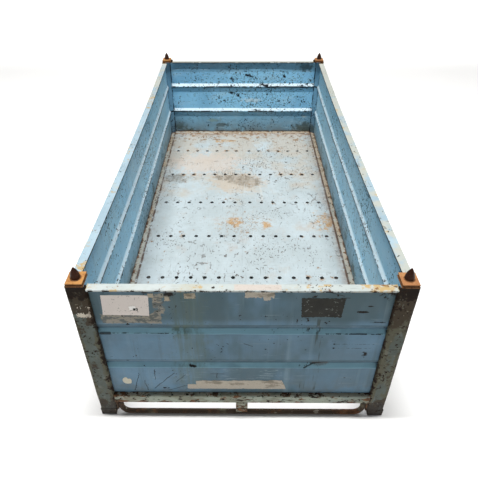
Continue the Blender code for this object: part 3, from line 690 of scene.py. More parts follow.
def strip_material(seed):
    """The floor's edge strips: whitish scraped paint over rust, browner to the rear and right."""
    shade = Shade("edge_strip_paint", (0.47, 0.475, 0.43), seed)
    out_x, out_y = abs(shade.x), abs(shade.y)
    shade.mottle((0.37, 0.37, 0.325), 6)
    tan = shade.noise(10, 5) + shade.y.spread(-0.4, 1.2, -0.05, 0.13)
    tan += shade.x.spread(-0.5, 0.5, -0.03, 0.1)
    shade.coat(tan.spread(0.5, 0.66), (0.43, 0.345, 0.245), 0.8)
    corner = out_x.spread(0.567, 0.577) | out_y.spread(1.217, 1.227)
    rust = (shade.noise(26, 6, 0.74) + corner * 0.12).spread(0.58, 0.63)
    shade.coat(rust, shade.rust((0.24, 0.1, 0.03)), 0.85)
    spots = shade.flecks(75, 0.56, 6) | shade.flecks(38, 0.36, 5) | shade.cracks(34)
    shade.coat(spots, (0.04, 0.026, 0.017))
    rough = (rust | spots).spread(0, 1, 0.6, 0.9)
    return shade.finish(rough, shade.noise(150, 3) * 0.5 - spots * 0.5, 0.0008)


def cap_material(seed):
    """Orange-brown rust on the plates over the posts, with painted shade on their sides,
    darkest in the groove.
    """
    shade = Shade("cap_surface_rust", (0.43, 0.215, 0.07), seed)
    shade.stain(22, 0.44, 0.6, (0.27, 0.105, 0.03), 0.8)
    shade.coat(shade.x.spread(-0.2, 0.2), (0.34, 0.16, 0.075), 0.6)
    fine = shade.noise(140, 5, 0.72)
    shade.coat(fine.spread(0.52, 0.7), (0.13, 0.05, 0.018), 0.6)
    shade.stain(60, 0.6, 0.7, (0.52, 0.35, 0.16), 0.5)
    # Painted shade: the plate's sides are painted darker, darkest in the groove.
    side = shade.up.spread(0.8, 0.3)
    groove = abs(shade.z - sum(CAP_GROOVE) / 2).spread(0.004, 0.0025)
    shade.coat(side * (groove * 0.6 + 0.35), (0.055, 0.02, 0.008))
    return shade.finish(fine.spread(0.3, 0.7, 0.72, 0.95), fine, 0.001)


def cone_material(seed):
    """Dark, oily brown steel."""
    shade = Shade("cone_dark_steel", (0.034, 0.013, 0.008), seed)
    broad = shade.noise(45)
    shade.coat(broad.spread(0.5, 0.66), (0.075, 0.028, 0.014), 0.8)
    fine = shade.noise(260, 4, 0.7)
    shade.coat(fine.spread(0.56, 0.7), (0.15, 0.065, 0.03), 0.6)
    return shade.finish(broad.spread(0.35, 0.65, 0.3, 0.58), fine + broad, 0.001, 0.35)


def bar_material(seed):
    """Dark brown round bar with bare scrapes and patches of dry rust."""
    shade = Shade("bar_rusty_steel", (0.042, 0.028, 0.018), seed)
    shade.coat(shade.patches(14, 0.5, 0.62), shade.rust((0.18, 0.075, 0.025)), 0.6)
    shade.stain(12, 0.56, 0.7, (0.105, 0.096, 0.064), 0.7)
    bare = shade.flecks(50, 0.32, stretch=(0.4, 1, 1))
    shade.coat(bare, (0.19, 0.17, 0.135), 0.7)
    return shade.finish(bare.spread(0, 1, 0.72, 0.42), shade.noise(240), 0.0008, 0.25)


def weld_material(name, base, rusty, seed):
    """Weld metal, painted or bare, that has partly rusted."""
    shade = Shade(name, base, seed)
    cloud = shade.noise(42, 5, 0.7)
    shade.coat(cloud.spread(0.5, 0.6), rusty, 0.9)
    fine = shade.noise(210, 4, 0.7)
    shade.coat(fine.spread(0.56, 0.7), (0.045, 0.02, 0.01), 0.6)
    return shade.finish(fine.spread(0.3, 0.7, 0.55, 0.85), fine + cloud, 0.0009)


def paper_material(name, clean, stained, share, seed):
    """Paper or tape: fibres, stains and a few dark specks."""
    shade = Shade(name, clean, seed)
    stain = shade.noise(26, 5, stretch=(0.4, 1, 1))
    edge = 0.68 - 0.26 * share
    shade.coat(stain.spread(edge, edge + 0.1), stained)
    fibres = shade.noise(420, 3, stretch=(0.35, 1, 1))
    shade.coat(fibres.spread(0.48, 0.72), stained, 0.45)
    shade.coat(shade.flecks(130, 0.34), tuple(0.3 * part for part in stained), 0.6)
    return shade.finish(fibres.spread(0.3, 0.7, 0.7, 0.88), fibres + stain, 0.0003)


def dark_label_material(seed):
    """A dark label, rubbed through to pale specks."""
    shade = Shade("dark_label", (0.019, 0.019, 0.014), seed)
    shade.stain(20, 0.4, 0.6, (0.012, 0.012, 0.009))
    rubbed = shade.flecks(85, 0.62) * shade.patches(16, 0.46, 0.56)
    shade.coat(rubbed, (0.17, 0.185, 0.17))
    fine = shade.noise(300, 3)
    return shade.finish(fine.spread(0.3, 0.7, 0.5, 0.7), fine, 0.0003)


def stage_material(seed):
    """The studio floor: near white, with the least variation."""
    shade = Shade("studio_floor", (0.93, 0.93, 0.928), seed)
    shade.stain(0.8, 0.3, 0.7, (0.945, 0.945, 0.944))
    return shade.finish(0.75, shade.noise(60, 3), 0.0003)


# Mesh helpers


def make(name, skin, material, slot, *nodes, bevel=0):
    """Makes one piece from points, faces and, for two materials, each face's side."""
    verts, faces, *sides = skin
    mesh = bpy.data.meshes.new(name)
    mesh.from_pydata([tuple(v) for v in verts], [], faces)
    for item in material if sides else [material]:
        mesh.materials.append(item)
    if sides:
        mesh.polygons.foreach_set("material_index", sides[0])
    bm = bmesh.new()
    bm.from_mesh(mesh)
    bmesh.ops.recalc_face_normals(bm, faces=bm.faces[:])
    bm.to_mesh(mesh)
    bm.free()
    mesh.shade_smooth()
    piece = bpy.data.objects.new(name, mesh)
    bpy.context.scene.collection.objects.link(piece)
    if bevel:
        edges = piece.modifiers.new("edges", "BEVEL")
        edges.width = bevel
        edges.segments = 2
        edges.limit_method = "ANGLE"
        edges.angle_limit = radians(38)
    piece.modifiers.new("flat_faces", "WEIGHTED_NORMAL").weight = 90
    if nodes:
        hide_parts(*nodes)
    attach(piece, "root")
    return piece


def loft(rings, loop=False):
    """Joins rings of points into a closed skin, capped at both ends unless it loops."""
    count = len(rings[0])
    verts = [point for ring in rings for point in ring]
    faces = []
    for i in range(len(rings) - (0 if loop else 1)):
        here, there = i * count, (i + 1) % len(rings) * count
        for j in range(count):
            k = (j + 1) % count
            faces.append((here + j, here + k, there + k, there + j))
    if not loop:
        faces.append(tuple(reversed(range(count))))
        faces.append(tuple(range((len(rings) - 1) * count, len(rings) * count)))
    return verts, faces


def slab(us, vs, outer, inner):
    """A skin of two grids, outer(u, v) and inner(u, v), joined round the rim."""
    columns = len(us)
    verts = [outer(u, v) for v in vs for u in us] + [inner(u, v) for v in vs for u in us]
    back = columns * len(vs)
    faces, sides = [], []
    for row in range(len(vs) - 1):
        for a in range(row * columns, row * columns + columns - 1):
            quad = (a, a + 1, a + columns + 1, a + columns)
            faces += [quad, tuple(back + i for i in reversed(quad))]
            sides += [0, 1]
    rim = list(range(columns))
    rim += [row * columns + columns - 1 for row in range(1, len(vs))]
    rim += [back - 1 - i for i in range(1, columns)]
    rim += [row * columns for row in range(len(vs) - 2, 0, -1)]
    faces += [(a, b, back + b, back + a) for a, b in zip(rim, rim[1:] + rim[:1])]
    return verts, faces, sides + [0] * len(rim)


def joined(parts):
    """Several skins as one."""
    verts, faces = [], []
    for some_verts, some_faces, *_ in parts:
        start = len(verts)
        verts += some_verts
        faces += [tuple(start + i for i in face) for face in some_faces]
    return verts, faces


def steps(low, high, count):
    return [low + (high - low) * i / count for i in range(count + 1)]


def turns(count):
    return [2 * pi * i / count for i in range(count)]


def clamped(share):
    return min(1, max(0, share))


def folded(points, plate, radius, bends=5):
    """The outline of a plate folded along a middle line of 2D points, with round bends."""
    points = [Vector(p) for p in points]
    path = [(points[0], (points[1] - points[0]).normalized().orthogonal())]
    for before, here, after in zip(points, points[1:], points[2:]):
        going, leaving = (here - before).normalized(), (after - here).normalized()
        turn = going.angle_signed(leaving)
        start = here - going * radius * abs(sin(turn / 2) / cos(turn / 2))
        side = going.orthogonal()
        centre = start - side * radius if turn > 0 else start + side * radius
        for step in range(bends + 1):
            bend = Matrix.Rotation(-turn * step / bends, 2)
            path.append((centre + bend @ (start - centre), bend @ side))
    path.append((points[-1], (points[-1] - points[-2]).normalized().orthogonal()))
    left = [point + side * plate / 2 for point, side in path]
    right = [point - side * plate / 2 for point, side in path]
    return left + right[::-1]


def channel(inner, outer, low, high, plate):
    """A channel's outline: its back at outer, its flanges reaching to inner."""
    back = outer - plate / 2
    line = [(inner, low + plate / 2), (back, low + plate / 2),
            (back, high - plate / 2), (inner, high - plate / 2)]
    return folded(line, plate, CHANNEL_BEND, bends=4)


def bar_ring(low, high, corner=0.0016):
    """A rectangle's outline, each corner rounded by three points."""
    ring = []
    for u, v, start in ((high[0], high[1], 0), (low[0], high[1], 1),
                        (low[0], low[1], 2), (high[0], low[1], 3)):
        centre_u = u + (corner if u == low[0] else -corner)
        centre_v = v + (corner if v == low[1] else -corner)
        for angle in steps(start * pi / 2, (start + 1) * pi / 2, 2):
            ring.append((centre_u + corner * cos(angle), centre_v + corner * sin(angle)))
    return ring


def ripple(place, scale, seed):
    """Smooth noise from -1 to 1 at a place."""
    return noise.noise(Vector(place) * scale + Vector((seed, -seed, 2 * seed)))


def wear(along, scale, seed, start=0):
    """Like ripple, but flat except where it rises above start."""
    return max(0, ripple((along, seed, 0), scale, seed) - start)


def tube(path, radius, sides, across, seed=0, lumps=0):
    """A round bar along a path that turns about the across direction."""
    across = Vector(across)
    rings = []
    for i, point in enumerate(path):
        before, after = path[max(0, i - 1)], path[min(len(path) - 1, i + 1)]
        normal = (after - before).normalized().cross(across).normalized()
        swell = radius * (1 + lumps * ripple(point, 170, seed))
        rings.append([point + (normal * cos(t) + across * sin(t)) * swell for t in turns(sides)])
    return loft(rings)


def spot(name, along, out, height):
    """A point of one of the four sides: place along it, distance from the middle, height."""
    if name in ENDS:
        return Vector((along, ENDS[name] * out, height))
    return Vector((SIDES[name] * out, along, height))


# Pieces


def side_bars(node, kind, materials, slot, profile, bevel):
    """A bar on every side. profile gives its outline, as distances out and heights, from
    the side's name, the place along it, and the bar's nearest and furthest distance out."""
    for name in (*ENDS, *SIDES):
        low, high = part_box(f"{node}_{name}")
        long, out = (0, 1) if name in ENDS else (1, 0)
        near, far = sorted((abs(low[out]), abs(high[out])))
        rings = [
            [spot(name, along, u, v) for u, v in profile(name, along, near, far, low.z, high.z)]
            for along in steps(-high[long], high[long], round(high[long] * RAIL_STEPS_PER_METRE))
        ]
        material = materials[0 if name in ENDS else 1]
        make(f"{node}_{name}_{kind}", loft(rings), material, slot, f"{node}_{name}", bevel=bevel)


def top_rail_profile(name, along, near, far, low, high):
    """A flat bar with the wall's bow, worn and dinged along its outer edge and its top."""
    edge = far - (0 if name in ENDS else bow(along / HALF_Y, RAIL_TOP))
    worn = wear(along, 16, len(name), 0.15) * 0.0022 + wear(along, 60, 7) * 0.001
    return bar_ring((edge - RAIL_WIDTH, low), (edge - worn, high - wear(along, 5, 2) * 0.0008))


def bottom_rail_profile(name, along, near, far, low, high):
    ding = wear(along, 7, len(name)) * 0.001
    return channel(near - ding, far - ding, low, high, BOTTOM_RAIL_PLATE)


def edge_strip_profile(name, along, near, far, low, high):
    uneven = 0.0014 * abs(ripple((along, 0, 0), 45, len(name)))
    return bar_ring((near + uneven, low), (far, high), 0.0008)


def cross_members(material):
    for number in range(1, ROWS + 2):
        node = f"cross_member_{number}"
        low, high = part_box(node)
        outline = channel(low.y, high.y, low.z, high.z, CROSS_PLATE)
        rings = [[Vector((x, y - wear(x, 7, number) * 0.001, z)) for y, z in outline]
                 for x in steps(low.x, high.x, MEMBER_STEPS)]
        make(f"{node}_channel", loft(rings), material, "frame_paint", node, bevel=0.0008)


def corner_posts(post, strip):
    """Folded angles with return lips, slightly dented, and the strips inside the corners."""
    middle_x, middle_y = HALF_X - POST_PLATE / 2, HALF_Y - POST_PLATE / 2
    lip_x, lip_y = POST_IN.x + POST_PLATE / 2, POST_IN.y + POST_PLATE / 2
    line = [(lip_x, WALL_OUT_Y + CLOSE_GAP), (lip_x, middle_y), (middle_x, middle_y),
            (middle_x, lip_y), (WALL_OUT_X + CLOSE_GAP, lip_y)]
    outline = folded(line, POST_PLATE, POST_BEND)
    half_strip = (STRIP_REACH - SHEET * sqrt(0.5)) / sqrt(2)
    for number, (corner, (x, y)) in enumerate(CORNERS.items()):
        low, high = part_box(f"post_{corner}")
        rings = []
        for z in steps(low.z, high.z, POST_STEPS):
            dent_x = wear(z, 9, 3 + number, -0.3) * 0.0012
            dent_y = wear(z, 9, 8 + number, -0.3) * 0.0012
            rings.append([Vector((x * (u - dent_x), y * (v - dent_y), z)) for u, v in outline])
        make(f"post_{corner}_plate", loft(rings), post, "post_paint",
             f"post_{corner}", bevel=0.0009)

        low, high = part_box(f"corner_strip_{corner}")
        along = Vector((x, -y, 0)).normalized() * half_strip
        inward = Vector((-x, -y, 0)).normalized()
        rings = []
        for z in steps(low.z, high.z, STRIP_STEPS):
            wave = ripple((0, 0, z), 12, number) * 0.0004
            centre = Vector(((low.x + high.x) / 2, (low.y + high.y) / 2, z)) + inward * wave
            rings.append([centre + along * u + inward * v * SHEET / 2
                          for u, v in ((-1, -1), (1, -1), (1, 1), (-1, 1))])
        make(f"corner_strip_{corner}_plate", loft(rings), strip, "wall_paint",
             f"corner_strip_{corner}", bevel=0.0006)


def ribs_of(name):
    """The middle heights of a wall's ribs, and half their height. The front's lie lower."""
    if name == "front":
        return [centre - FRONT_RIB_DROP for centre in RIB_CENTRES], FRONT_RIB_HALF_HEIGHT
    return RIB_CENTRES, RIB_HALF_HEIGHT


def rib_depth(name, height):
    """A rib is a fold with a crest a little below its middle, its bends slightly round."""
    crest_round, foot_round = 0.16, 0.14
    centres, half_height = ribs_of(name)
    for centre in centres:
        crest = centre - CREST_DROP
        reach = half_height + CREST_DROP * (1 if height > crest else -1)
        away = abs(height - crest) / reach
        if away < 1:
            fall = away - crest_round / 2
            if away < crest_round:
                fall = away * away / (2 * crest_round)
            if away > 1 - foot_round:
                fall -= (away - 1 + foot_round) ** 2 / (2 * foot_round)
            return RIB_DEPTH * (1 - fall / (1 - crest_round / 2 - foot_round / 2))
    return 0


def bow(share, height):
    """How far a long side is bent inwards: most at the middle of its top edge."""
    return SIDE_BOW * (1 - share * share) * clamped((height - BOW_START) / (RAIL_TOP - BOW_START))


def wall_surface(name, seed):
    """Gives a function of place along a wall, height and offset inwards from its outer face,
    whose result is the point. The sheet has shallow dents that fade out at its edges."""
    on_end = name in ENDS
    half, out = (END_HALF, WALL_OUT_Y) if on_end else (SIDE_HALF, WALL_OUT_X)
    draw = Random(seed)
    dents = [
        (draw.uniform(-half, half), draw.uniform(0.22, 0.68),
         draw.uniform(0.03, 0.11), draw.uniform(-0.0016, 0.0022))
        for _ in range(14 if on_end else 30)
    ]

    def surface(along, height, inward=0):
        edge = min(half - abs(along), height - WALL_LOW, WALL_HIGH - height)
        fade = clamped(edge / DENT_FADE)
        wave = 0.0008 + 0.0009 * ripple((along, 0, height), 3.5, seed)
        for place, level, radius, depth in dents:
            away = ((along - place) ** 2 + (height - level) ** 2) / radius ** 2
            wave += depth * max(0, 1 - away) ** 2
        depth = rib_depth(name, height) + wave * fade * fade * (3 - 2 * fade) + inward
        if not on_end:
            depth += bow(along / half, height)
        return spot(name, along, out - depth, height)

    return surface


def walls(outer_materials, inner_materials):
    """The four sheets. Their grid is close over the ribs and wider between them."""
    surfaces = {}
    for seed, name in enumerate((*ENDS, *SIDES)):
        heights, low = [], WALL_LOW
        centres, half_height = ribs_of(name)
        for centre in centres:
            foot, head = centre - half_height, centre + half_height
            heights += steps(low, foot, WALL_ROWS)[:-1] + steps(foot, head, RIB_ROWS)[:-1]
            low = head
        heights += steps(low, WALL_HIGH, WALL_ROWS)
        surface = surfaces[name] = wall_surface(name, seed + 2)
        half, columns = (END_HALF, END_COLUMNS) if name in ENDS else (SIDE_HALF, SIDE_COLUMNS)
        skin = slab(steps(-half, half, columns), heights, surface,
                    lambda along, height: surface(along, height, SHEET))
        make(f"wall_{name}_sheet", skin, (outer_materials[name], inner_materials[name]),
             "wall_paint", f"wall_{name}")
    return surfaces


def row_places():
    return [ROW_SHIFT + ROW_PITCH * (row - (ROWS - 1) / 2) for row in range(ROWS)]


def grid_lines(low, high, centres, half, inside, between):
    """Grid lines from low to high: close together round each centre, and which start a hole."""
    lines, starts = [low], []
    for centre in centres:
        lines += steps(lines[-1], centre - half, between)[1:]
        starts.append(len(lines) - 1)
        lines += steps(centre - half, centre + half, inside)[1:]
    lines += steps(lines[-1], high, between)[1:]
    return lines, starts


def floor_height(x, y):
    """The floor sags a little between the cross members and round old knocks, but not at
    its edges."""
    from_member = (y - row_places()[0] + ROW_PITCH / 2) / ROW_PITCH
    span = sin(pi * (from_member % 1)) ** 2
    inset = clamped((SAG_X - abs(x)) / SAG_FADE) * clamped((SAG_Y - abs(y)) / SAG_FADE)
    dish = 0.0011 * span + 0.0007 * max(0, ripple((x, y, 0), 6, 4))
    return -dish * inset


def floor_plates(material):
    """Perforated plates: a grid with a round hole in the middle of each hole's cell."""
    inside, between_columns, between_rows = HOLE_CELL_STEPS, 3, 12
    columns = [FIRST_HOLE + HOLE_PITCH * i for i in range(HOLES_PER_HALF_ROW)]
    for side, x in SIDES.items():
        low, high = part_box(f"floor_plate_{side}")
        far = max(abs(low.x), abs(high.x))
        us, hole_us = grid_lines(FLOOR_SEAM, far, columns, HOLE_CELL, inside, between_columns)
        vs, hole_vs = grid_lines(low.y, high.y, row_places(), HOLE_CELL, inside, between_rows)
        flat = [(x * u, v) for v in vs for u in us]
        width = len(us)
        in_hole = {
            (row + i, column + j)
            for row in hole_vs for column in hole_us
            for i in range(inside) for j in range(inside)
        }
        faces = [
            (a, a + 1, a + width + 1, a + width)
            for row in range(len(vs) - 1) for column in range(width - 1)
            if (row, column) not in in_hole
            for a in [row * width + column]
        ]
        for row in hole_vs:
            for column in hole_us:
                faces += round_hole(flat, width, row * width + column, inside)
        used = sorted({i for face in faces for i in face})
        number = {old: new for new, old in enumerate(used)}
        verts = [(*flat[i], high.z + floor_height(*flat[i])) for i in used]
        faces = [tuple(number[i] for i in face) for face in faces]
        piece = make(f"floor_plate_{side}_sheet", (verts, faces), material, "floor_paint",
                     f"floor_plate_{side}")
        if piece.data.polygons[0].normal.z < 0:
            piece.data.flip_normals()
        thick = piece.modifiers.new("thickness", "SOLIDIFY")
        thick.thickness = high.z - low.z
        piece.modifiers.move(0, 1)


def round_hole(flat, width, corner, inside):
    """Adds circles of points in one cell of a grid of points, and gives the faces round the
    hole. width is the grid's, corner the cell's first point, inside the steps in its side."""
    far = corner + inside * width
    outer = [corner + i for i in range(inside)]
    outer += [corner + inside + i * width for i in range(inside)]
    outer += [far + inside - i for i in range(inside)]
    outer += [far - i * width for i in range(inside)]
    edge = [Vector(flat[i]) for i in outer]
    centre = (edge[0] + edge[2 * inside]) / 2
    faces, count = [], len(outer)
    for share in (0.45, 1):
        start = len(flat)
        for point in edge:
            side = point - centre
            turn = round_turn(side)
            flat.append(tuple(point.lerp(centre + turn * HOLE_RADIUS, share)))
        ring = list(range(start, start + count))
        faces += [(outer[i], outer[i - 1], ring[i - 1], ring[i]) for i in range(count)]
        outer = ring
    return faces


def round_turn(side):
    """The direction on a circle that matches a place on a square's border about it."""
    wide = max(abs(side.x), abs(side.y))
    angle = pi / 4 * min(abs(side.x), abs(side.y)) / wide
    a, b = (cos(angle), sin(angle)) if abs(side.x) >= abs(side.y) else (sin(angle), cos(angle))
    return Vector((a if side.x > 0 else -a, b if side.y > 0 else -b))


def holed_block(levels, centre, radius):
    """A block with a round vertical hole. levels are its outlines from the top down: each
    the low and high corner of a rectangle, and its height."""
    count = 4 * BLOCK_SIDE_STEPS
    rings = []
    for i in range(count):
        side, share = divmod(i / BLOCK_SIDE_STEPS, 1)
        border = [(share, 0), (1, share), (1 - share, 1), (0, 1 - share)][int(side)]
        ring = [
            Vector((*(a + (b - a) * part for a, b, part in zip(low, high, border)), z))
            for low, high, z in levels
        ]
        turn = 2 * pi * i / count - 3 * pi / 4
        u, v = centre[0] + radius * cos(turn), centre[1] + radius * sin(turn)
        ring += [Vector((u, v, levels[-1][2])), Vector((u, v, levels[0][2]))]
        rings.append(ring)
    return loft(rings, loop=True)


def caps_cones_feet(cap, cone, foot):
    """The grooved plate, the cone and the tapered foot of every post."""
    for number, (corner, (x, y)) in enumerate(CORNERS.items()):
        centre = (x * CAP_CENTRE.x, y * CAP_CENTRE.y)
        low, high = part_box(f"cap_plate_{corner}")
        levels = []
        for depth, z in ((0, high.z), (0, CAP_GROOVE[1]), (1, CAP_GROOVE[1] - GROOVE_SLOPE),
                         (1, CAP_GROOVE[0] + GROOVE_SLOPE), (0, CAP_GROOVE[0]), (0, low.z)):
            inset = Vector((GROOVE_DEPTH, GROOVE_DEPTH)) * depth
            levels.append((low.xy + inset, high.xy - inset, z))
        hole_radius = CONE_RADIUS + CONE_HOLE_GAP
        make(f"cap_plate_{corner}_plate", holed_block(levels, centre, hole_radius),
             cap, "cap_rust", f"cap_plate_{corner}", bevel=0.0008)

        low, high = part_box(f"post_foot_{corner}")
        taper_x, taper_y = ((FOOT_TAPER_OUT, FOOT_TAPER_IN)[::side] for side in (x, y))
        base_low = low.xy + Vector((taper_x[1], taper_y[1]))
        base_high = high.xy - Vector((taper_x[0], taper_y[0]))
        levels = [(low.xy, high.xy, high.z), (base_low, base_high, low.z)]
        make(f"post_foot_{corner}_block", holed_block(levels, centre, SOCKET_RADIUS),
             foot, "post_paint", f"post_foot_{corner}", bevel=0.0015)

        low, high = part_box(f"stacking_cone_{corner}")
        make(f"stacking_cone_{corner}_turned", turned_cone(centre, low.z, high.z, number),
             cone, "cone_steel", f"stacking_cone_{corner}")


def turned_cone(centre, low, high, seed):
    """A worn cone: a straight neck, flanks that bulge a little and a blunt tip."""
    tip, neck = CONE_TIP, CAP_OUT.z + CONE_NECK_RISE
    profile = [(CONE_RADIUS, low), (CONE_RADIUS, neck - 0.002)]
    profile += [(CONE_RADIUS - (CONE_RADIUS - tip) * share ** 2, neck + (high - tip - neck) * share)
                for share in steps(0, 1, 16)]
    profile += [(tip * cos(t), high - tip + tip * sin(t)) for t in steps(0.3, 1.4, 4)]
    rings = []
    for r, z in profile:
        ring = []
        for t in turns(48):
            dent = 0.035 * max(0, ripple((cos(t) * r, sin(t) * r, z), 45, seed))
            worn = r * (1 - dent * (z > neck))
            ring.append(Vector((centre[0] + worn * cos(t), centre[1] + worn * sin(t), z)))
        rings.append(ring)
    return loft(rings)


def skid_bars(bar, fitting):
    """The bent bars under the ends, with their lugs and middle feet."""
    for end in ENDS:
        low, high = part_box(f"skid_bar_{end}")
        radius = (high.y - low.y) / 2
        middle = (low + high) / 2
        ground, reach = low.z + radius, middle.x - low.x - radius
        half = [(reach, z) for z in steps(high.z, ground + BAR_BEND, 5)]
        half += [(reach - BAR_BEND * (1 - cos(t)), ground + BAR_BEND * (1 - sin(t)))
                 for t in steps(0, pi / 2, 12)[1:]]
        half += [(x, ground) for x in steps(reach - BAR_BEND, 0, 40)[1:]]
        path = [Vector((middle.x + x, middle.y, z)) for x, z in half]
        path += [Vector((middle.x - x, middle.y, z)) for x, z in half[-2::-1]]
        make(f"skid_bar_{end}_round", tube(path, radius, 24, (0, 1, 0)), bar, "bar_steel",
             f"skid_bar_{end}", bevel=0.0008)
        for node in (f"centre_foot_{end}", f"bar_lug_{end}_left", f"bar_lug_{end}_right"):
            low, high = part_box(node)
            rings = [[Vector((u, v, z)) for u, v in bar_ring(low, high, 0.0012)]
                     for z in steps(low.z, high.z, 10)]
            make(f"{node}_block", loft(rings), fitting, "frame_paint", node, bevel=0.0008)


# Welds, labels and tape


def bead(start, stop, radius, across, seed):
    """A weld bead between two points, lumpy like stacked drops."""
    start, stop = Vector(start), Vector(stop)
    count = int((stop - start).length / BEAD_STEP)
    path = [start.lerp(stop, share) for share in steps(0, 1, count)]
    return tube(path, radius, 8, across, seed, BEAD_LUMPS)


def welds(rusty, painted):
    """Beads round the caps and cones, and up the joints between the rails and the posts."""
    upright = Vector((0, 0, 1))
    seam_x, seam_y = POST_IN.x - CLOSE_GAP, POST_IN.y - CLOSE_GAP
    rail_low, rail_high = (point.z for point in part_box("bottom_rail_rear"))
    for number, (corner, (x, y)) in enumerate(CORNERS.items()):
        z = POST_TOP + CAP_BEAD_RISE
        out_x, out_y = CAP_OUT.x - CAP_BEAD_INSET, CAP_OUT.y - CAP_BEAD_INSET
        border = [CAP_IN.xy, (out_x, CAP_IN.y), (out_x, out_y), (CAP_IN.x, out_y)]
        border = [(x * u, y * v, z) for u, v in border]
        parts = [bead(a, b, CAP_BEAD, upright, number + 1.5)
                 for a, b in zip(border, border[1:] + border[:1])]
        centre = Vector((x * CAP_CENTRE.x, y * CAP_CENTRE.y, CAP_OUT.z))
        rings = []
        for away in (Vector((cos(t), sin(t), 0)) for t in turns(80)):
            swell = CAP_BEAD * (1 + 0.35 * ripple(away, 3, number))
            middle = centre + away * (CONE_RADIUS + CONE_BEAD_GAP)
            rings.append([middle + (away * cos(t) + upright * sin(t)) * swell for t in turns(8)])
        parts.append(loft(rings, loop=True))
        make(f"cap_welds_{corner}", joined(parts), rusty, "cap_rust")

        z = RAIL_TOP - RAIL_BEAD_DROP
        rail_in_x = HALF_X - RAIL_WIDTH
        parts = []
        for a, b in (((seam_x, RAIL_IN + 0.001), (seam_x, HALF_Y - 0.003)),
                     ((rail_in_x + 0.001, seam_y), (HALF_X - 0.003, seam_y))):
            start, stop = ((x * u, y * v, z) for u, v in (a, b))
            parts.append(bead(start, stop, RAIL_BEAD, upright, number + 4))
        make(f"top_rail_welds_{corner}", joined(parts), painted, "rail_paint")

        parts = []
        for u, v, across in ((seam_x, HALF_Y - POST_BEAD_INSET, (0, 1, 0)),
                             (HALF_X - POST_BEAD_INSET, seam_y, (1, 0, 0))):
            start, stop = ((x * u, y * v, z) for z in (rail_low + 0.002, rail_high + 0.004))
            parts.append(bead(start, stop, POST_BEAD, across, number + 6))
        make(f"bottom_rail_welds_{corner}", joined(parts), rusty, "frame_paint")


def ragged_sheet(surface, corners, seed, ragged=0.004, counts=(14, 12), lift=0, curl=0):
    """A thin sheet stuck on a surface. corners are (along, height) from lower left, round."""
    lower_left, lower_right, upper_right, upper_left = (Vector(c) for c in corners)

    def place(u, v, off, curled):
        low = lower_left.lerp(lower_right, u)
        high = upper_left.lerp(upper_right, u)
        pull = max(0, 1 - min(u, 1 - u, v, 1 - v) * 12) * ragged
        move = Vector((0, 0))
        for scale, size in ((15, 1), (52, 0.6)):
            move += Vector((ripple((u, v, 0), scale, seed), ripple((v, u, 3), scale, seed))) * size
        point = low.lerp(high, v) + move * pull
        corner = max(0, (abs(u - 0.5) + abs(v - 0.5)) * 2 - 1.6) / 0.4
        return surface(point.x, point.y, -(off + lift + curled * corner))

    def face(u, v):
        return place(u, v, PAPER_THICKNESS + 0.0001 * ripple((u, v, 0), 7, seed), curl)

    return slab(steps(0, 1, counts[0]), steps(0, 1, counts[1]), face,
                lambda u, v: place(u, v, 0, curl * 0.8))


def patch(low_u, low_v, high_u, high_v):
    return [(low_u, low_v), (high_u, low_v), (high_u, high_v), (low_u, high_v)]


def oval_sheet(surface, centre, radii):
    """A thin oval sticker with a raised rim, a piece torn off it at the upper right."""
    outline = []
    for t in turns(64):
        reach = 1 - 0.45 * exp(-((t - 1.1) / 0.4) ** 2) + 0.15 * exp(-((t - 5.5) / 0.3) ** 2)
        outline.append(Vector((radii[0] * cos(t), radii[1] * sin(t))) * reach)
    rings = []
    for share, off in ((1, 0), (1, 0.0004), (0.86, 0.0006), (0.8, 0.0004)):
        rings.append([surface(centre[0] + u * share, centre[1] + v * share, -off)
                      for u, v in outline])
    return loft(rings)


